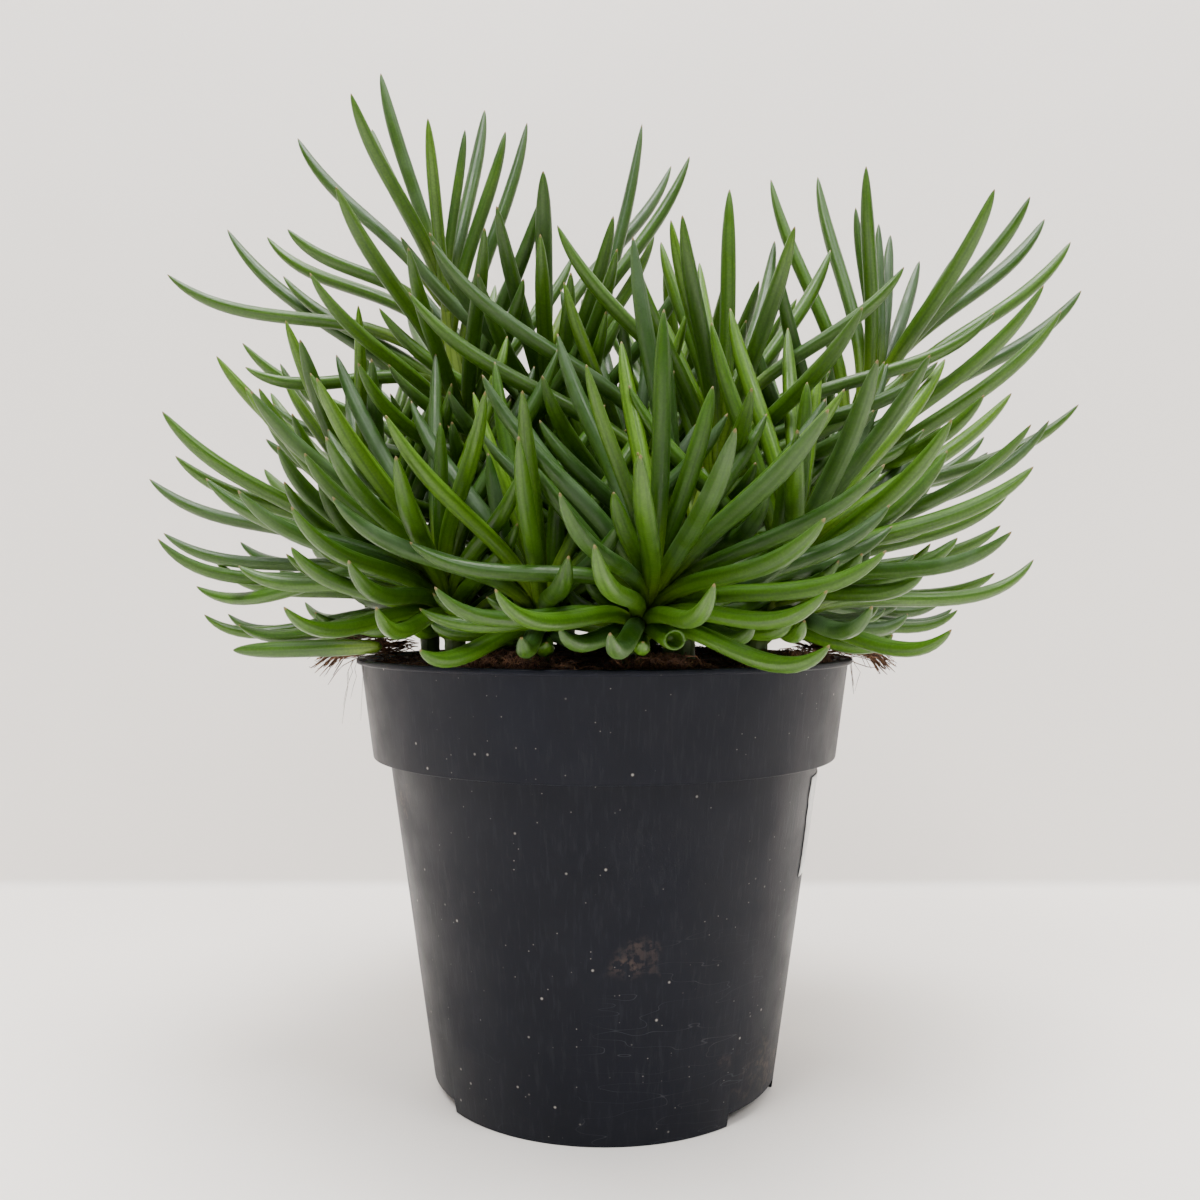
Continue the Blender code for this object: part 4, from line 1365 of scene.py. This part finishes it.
class SENECIO_OT_potting_mix(bpy.types.Operator):
    """Make the potting mix and its crumbs"""

    bl_idname = "senecio.potting_mix"
    bl_label = "Potting mix"

    def execute(self, context):
        settings = context.scene.senecio_mix
        chance = random.Random(SEED + 1)
        edge = COLLAR_TOP_RADIUS - WALL - 0.5 * MM
        profile = [(edge * i / 44, mix_top(edge * i / 44)) for i in range(45)]
        profile += [(edge - 0.3 * MM, POT_HEIGHT - 12 * MM), (0, POT_HEIGHT - 13 * MM)]
        shape = turned_shape(profile, 150)
        for vert in shape.verts:
            if vert.co.z > POT_HEIGHT - 11 * MM and vert.co.xy.length < edge - 0.2 * MM:
                vert.co.z += self.lumps(vert.co)
        finish = mix_material("potting_mix", settings.dark, settings.light, 260.0)
        finish_piece("mix_surface", shape, [finish], ["potting_mix"])

        shape = bmesh.new()
        for _ in range(settings.crumbs):
            place = polar(chance.uniform(0, 360), edge * 0.985 * math.sqrt(chance.random()))
            place.z = mix_top(place.xy.length)
            place.z += self.lumps(place)
            size = chance.uniform(0.4, 1.5) * MM
            turn = Matrix.Rotation(chance.uniform(0, 6.2), 4, Vector((chance.random(), chance.random(), 1)))
            stretch = Matrix.Diagonal((chance.uniform(0.7, 1.7), 1, chance.uniform(0.5, 0.9), 1))
            crumb = bmesh.ops.create_icosphere(
                shape, subdivisions=1, radius=size, matrix=Matrix.Translation(place) @ turn @ stretch
            )
            for vert in crumb["verts"]:
                knock = [chance.uniform(-1, 1) for _ in range(3)]
                vert.co += Vector(knock) * size * CRUMB_ROUGHNESS
        finish_piece("mix_crumbs", shape, [finish])
        return {"FINISHED"}

    def lumps(self, place):
        broad = noise.noise(place * 110) * 1.3 * MM
        return broad + noise.noise(place * 420) * 0.8 * MM


def add_strand(shape, paint, points, radius, sides=3):
    """A thin fibre through points."""
    matrices = []
    for index, point in enumerate(points):
        ahead = points[min(index + 1, len(points) - 1)]
        behind = points[max(index - 1, 0)]
        along = (ahead - behind).normalized()
        across = along.orthogonal().normalized()
        width = radius * (0.5 if index in (0, len(points) - 1) else 1)
        matrices.append(ring_matrix(point, across, along.cross(across), along, width, width))
    sweep(shape, matrices, sides, round_section, paint)


class SENECIO_OT_coir(bpy.types.Operator):
    """Scatter coir fibres over the mix, and mat them into the tufts over the rim"""

    bl_idname = "senecio.coir"
    bl_label = "Coir"

    def execute(self, context):
        settings = context.scene.senecio_mix
        chance = random.Random(SEED + 2)
        # The coir's dark and light tones, mixed at random, are painted shade and painted light on the fibre.
        finish = mix_material("coir", settings.coir_dark, settings.coir_light, 420.0)
        shape = bmesh.new()
        paint = paint_layers(shape)
        edge = COLLAR_TOP_RADIUS - WALL - 0.4 * MM
        for _ in range(settings.fibres):
            azimuth = chance.uniform(0, 360)
            across = edge * chance.uniform(0.5, 0.97)
            self.lying_strand(shape, paint, azimuth, across, 2.4, chance)
        for azimuth, half_width in COIR_BANKS:
            for _ in range(settings.bank):
                share = chance.gauss(0, BANK_FIBRE_SPREAD)
                lift = BANK_LIFT * max(0.2, 1 - share**2)
                across = edge * chance.uniform(0.84, 1)
                self.lying_strand(shape, paint, azimuth + share * half_width, across, lift, chance)
        finish_piece("coir_litter", shape, [finish])

        for name, side in COIR_SIDES.items():
            shape = bmesh.new()
            paint = paint_layers(shape)
            for _ in range(settings.tuft):
                self.tuft_strand(shape, paint, side, chance)
            for _ in range(HANGING_STRANDS):
                self.hanging_strand(shape, paint, side, chance)
            finish_piece(name + "_tuft", shape, [finish], [name])
        return {"FINISHED"}

    def lying_strand(self, shape, paint, azimuth, radius, lift, chance):
        """A fibre lying on the mix, up to lift millimetres above it, and kept inside the rim."""
        edge = COLLAR_TOP_RADIUS - WALL - 0.8 * MM
        heading = polar(chance.uniform(0, 360))
        length = chance.uniform(5, 16) * MM
        points = []
        for i in range(5):
            place = polar(azimuth, radius) + heading * length * (i / 4 - 0.5)
            place += heading.cross(UP) * math.sin(i * 1.3 + azimuth) * length * 0.12
            if place.xy.length > edge:
                place.xy = place.xy.normalized() * edge
            place.z = mix_top(place.xy.length) + chance.uniform(0.4, lift) * MM
            points.append(place)
        add_strand(shape, paint, points, chance.uniform(0.1, 0.22) * MM)

    def tuft_strand(self, shape, paint, side, chance):
        """A fibre that follows the tuft's line for a while, wandering off it."""
        spine = [Vector(point) for point in over_rim(COIR_LINE, side)]
        begin = chance.uniform(0, 2.2)
        span = chance.uniform(0.6, 1.4)
        offset = Vector((0, chance.gauss(0, 3.4), chance.gauss(-1.0, 1.5))) * MM
        drift = Vector((chance.gauss(0, 2.0), chance.gauss(0, 3.0), chance.gauss(0, 1.6))) * MM
        points = []
        for i in range(6):
            where = min(begin + span * i / 5, len(spine) - 1.001)
            index = int(where)
            place = spine[index].lerp(spine[index + 1], where - index)
            wave = math.sin(i * 1.7 + begin * 5) * 1.1 * MM
            place = place + offset + drift * (i / 5) + Vector((0, wave, wave * 0.4))
            points.append(self.above_rim(place))
        add_strand(shape, paint, points, chance.uniform(0.12, 0.26) * MM)

    def hanging_strand(self, shape, paint, side, chance):
        """A hair that has slipped over the lip and hangs down the outside."""
        y = COIR_LINE[2][1] * MM + chance.uniform(-16, 8) * MM
        reach = chance.uniform(1.02, 1.09)
        start = math.sqrt(max((LIP_RADIUS - 4 * MM) ** 2 - y * y, 0)) * side
        fall = chance.uniform(8, 30) * MM
        points = []
        for i in range(7):
            share = i / 6
            out = start * mix(1, reach, math.sin(min(share * 2.2, 1.57)))
            z = POT_HEIGHT + 2.5 * MM * math.cos(min(share * 3, 1.57)) - fall * share**2
            points.append(Vector((out + math.sin(i * 1.9) * 0.8 * MM, y + share * 6 * MM * side, z)))
        points = [self.above_rim(point) for point in points]
        add_strand(shape, paint, points, 0.09 * MM)

    def above_rim(self, place):
        """Keep a fibre off the lip and out of the wall."""
        reach = place.xy.length
        inner, outer = COLLAR_TOP_RADIUS - WALL - 0.4 * MM, LIP_RADIUS + 0.4 * MM
        if inner < reach < outer:
            place.z = max(place.z, POT_HEIGHT + 0.4 * MM)
        elif reach <= inner:
            place.z = max(place.z, mix_top(reach) + 0.3 * MM)
        return place


class SENECIO_OT_shoots(bpy.types.Operator):
    """Grow every shoot: its stem and its finger leaves"""

    bl_idname = "senecio.shoots"
    bl_label = "Shoots"

    def execute(self, context):
        settings = context.scene.senecio_plant
        skin = leaf_material(settings)
        bark = stem_material(settings)
        chance = random.Random(SEED + 3)
        for name, leaves in grow_all(settings.fill).items():
            shape = bmesh.new()
            paint = paint_layers(shape)
            own = 0
            for leaf in leaves:
                if leaf.own_node:
                    own += 1
                    single = bmesh.new()
                    add_leaf(single, paint_layers(single), leaf, chance)
                    node = f"{name}_leaf_{own}"
                    finish_piece(node + "_skin", single, [skin], [node], levels=1)
                else:
                    add_leaf(shape, paint, leaf, chance)
            finish_piece(name + "_leaves", shape, [skin], [name + "_shoot"], levels=1)
            shape = bmesh.new()
            add_stem(shape, paint_layers(shape), SHOOTS[name], chance)
            finish_piece(name + "_stem", shape, [bark], levels=1)
        shape = bmesh.new()
        add_leaf(shape, paint_layers(shape), loose_leaf(), chance)
        finish_piece("loose_leaf_skin", shape, [skin], ["loose_leaf"], levels=1)
        return {"FINISHED"}


class SENECIO_OT_stage(bpy.types.Operator):
    """Set out the floor and backdrop, the soft lights and the camera"""

    bl_idname = "senecio.stage"
    bl_label = "Studio"

    def execute(self, context):
        settings = context.scene.senecio_stage
        self.floor(settings)
        self.lights(context, settings)
        self.camera(context, settings)
        return {"FINISHED"}

    def floor(self, settings):
        """A floor that turns up into a backdrop, which can be seen only from its front."""
        shape = bmesh.new()
        far, tall, wide = settings.wall_distance, 2.4, 6.0
        corners = [(-wide / 2, -2.4, 0), (-wide / 2, far, 0), (-wide / 2, far, tall)]
        verts = [shape.verts.new(corner) for corner in corners]
        edges = [shape.edges.new(pair) for pair in zip(verts, verts[1:])]
        grown = bmesh.ops.extrude_edge_only(shape, edges=edges)["geom"]
        moved = [item for item in grown if isinstance(item, bmesh.types.BMVert)]
        bmesh.ops.translate(shape, vec=(wide, 0, 0), verts=moved)
        fold = [e for e in shape.edges if e.is_manifold]
        bmesh.ops.bevel(
            shape, geom=fold, offset=6 * MM, affect="EDGES", segments=6, profile=0.5, material=-1
        )
        bmesh.ops.recalc_face_normals(shape, faces=shape.faces)
        lowest = min(shape.faces, key=lambda face: face.calc_center_median().z)
        if lowest.normal.z < 0:
            bmesh.ops.reverse_faces(shape, faces=shape.faces)
        mesh = bpy.data.meshes.new("studio_floor")
        shape.to_mesh(mesh)
        shape.free()
        mesh.shade_smooth()
        floor = bpy.data.objects.new("studio_floor", mesh)
        bpy.context.scene.collection.objects.link(floor)
        mesh.materials.append(self.paint(settings))

    def paint(self, settings):
        made, graph, shader = new_material("studio_paint")
        base = rgba(settings.floor)
        tint = graph.between(graph.noise(3.0, 3.0), 0.3, 0.7, 0.965, 1.0)
        graph.put(shader["Base Color"], graph.blend(1.0, base, grey(graph, tint), "MULTIPLY"))
        graph.put(shader["Roughness"], graph.between(graph.noise(20.0), 0.3, 0.7, 0.6, 0.7))
        shown = made.node_tree.nodes["Principled BSDF"].outputs[0]
        clear = graph.add("BsdfTransparent").outputs[0]
        behind = graph.add("NewGeometry").outputs["Backfacing"]
        blend = graph.add("MixShader", {0: behind, 1: shown, 2: clear}).outputs[0]
        graph.put(made.node_tree.nodes["Material Output"].inputs["Surface"], blend)
        return made

    def lights(self, context, settings):
        world = bpy.data.worlds.new("soft_room")
        world.use_nodes = True
        graph = Graph(world.node_tree)
        direction = graph.add("TexCoord").outputs["Generated"]
        height = graph.add("SeparateXYZ", {0: direction}).outputs[2]
        sky = world.node_tree.nodes["Background"].inputs
        sky["Color"].default_value = (0.95, 0.97, 1.0, 1)
        graph.put(sky["Strength"], graph.between(height, 0.1, 0.95, *settings.sky))
        context.scene.world = world
        for name, (place, size, power) in LAMPS.items():
            self.area(name, place, size, power)

    def area(self, name, place, size, power):
        light = bpy.data.lights.new(name, "AREA")
        light.shape = "DISK"
        light.size = size
        light.energy = power
        lamp = bpy.data.objects.new(name, light)
        lamp.location = place
        aim = Vector((0, 0, POT_HEIGHT)) - Vector(place)
        lamp.rotation_euler = aim.to_track_quat("-Z", "Y").to_euler()
        bpy.context.scene.collection.objects.link(lamp)

    def camera(self, context, settings):
        lens = bpy.data.cameras.new("camera")
        lens.lens = settings.lens
        lens.sensor_width = 36
        lens.clip_start = 0.01
        camera = bpy.data.objects.new("camera", lens)
        camera.location = (-1.5 * MM, -settings.distance, settings.height)
        camera.rotation_euler = (math.pi / 2, 0, 0)
        context.scene.collection.objects.link(camera)
        context.scene.camera = camera


class SENECIO_PT_sidebar(bpy.types.Panel):
    """Lists the steps that finish the plant"""

    bl_label = "Potted Senecio"
    bl_idname = "SENECIO_PT_sidebar"
    bl_space_type = "VIEW_3D"
    bl_region_type = "UI"
    bl_category = "Senecio"

    def draw(self, context):
        for operator in OPERATORS:
            self.layout.operator(operator.bl_idname)
        for group, name in GROUPS.items():
            box = self.layout.box()
            box.label(text=group.__doc__)
            for key in group.__annotations__:
                box.prop(getattr(context.scene, name), key)


OPERATORS = (
    SENECIO_OT_pot,
    SENECIO_OT_label,
    SENECIO_OT_potting_mix,
    SENECIO_OT_coir,
    SENECIO_OT_shoots,
    SENECIO_OT_stage,
)
GROUPS = {
    SenecioPlant: "senecio_plant",
    SenecioPot: "senecio_pot",
    SenecioMix: "senecio_mix",
    SenecioStage: "senecio_stage",
}


def register():
    for made in (*GROUPS, *OPERATORS, SENECIO_PT_sidebar):
        bpy.utils.register_class(made)
    for group, name in GROUPS.items():
        setattr(bpy.types.Scene, name, bpy.props.PointerProperty(type=group))


def unregister():
    for name in GROUPS.values():
        delattr(bpy.types.Scene, name)
    for made in reversed((*GROUPS, *OPERATORS, SENECIO_PT_sidebar)):
        bpy.utils.unregister_class(made)


def main():
    register()
    build_groups()
    bpy.ops.senecio.pot()
    bpy.ops.senecio.label()
    bpy.ops.senecio.potting_mix()
    bpy.ops.senecio.coir()
    bpy.ops.senecio.shoots()
    bpy.ops.senecio.stage()


if __name__ == "__main__":
    main()
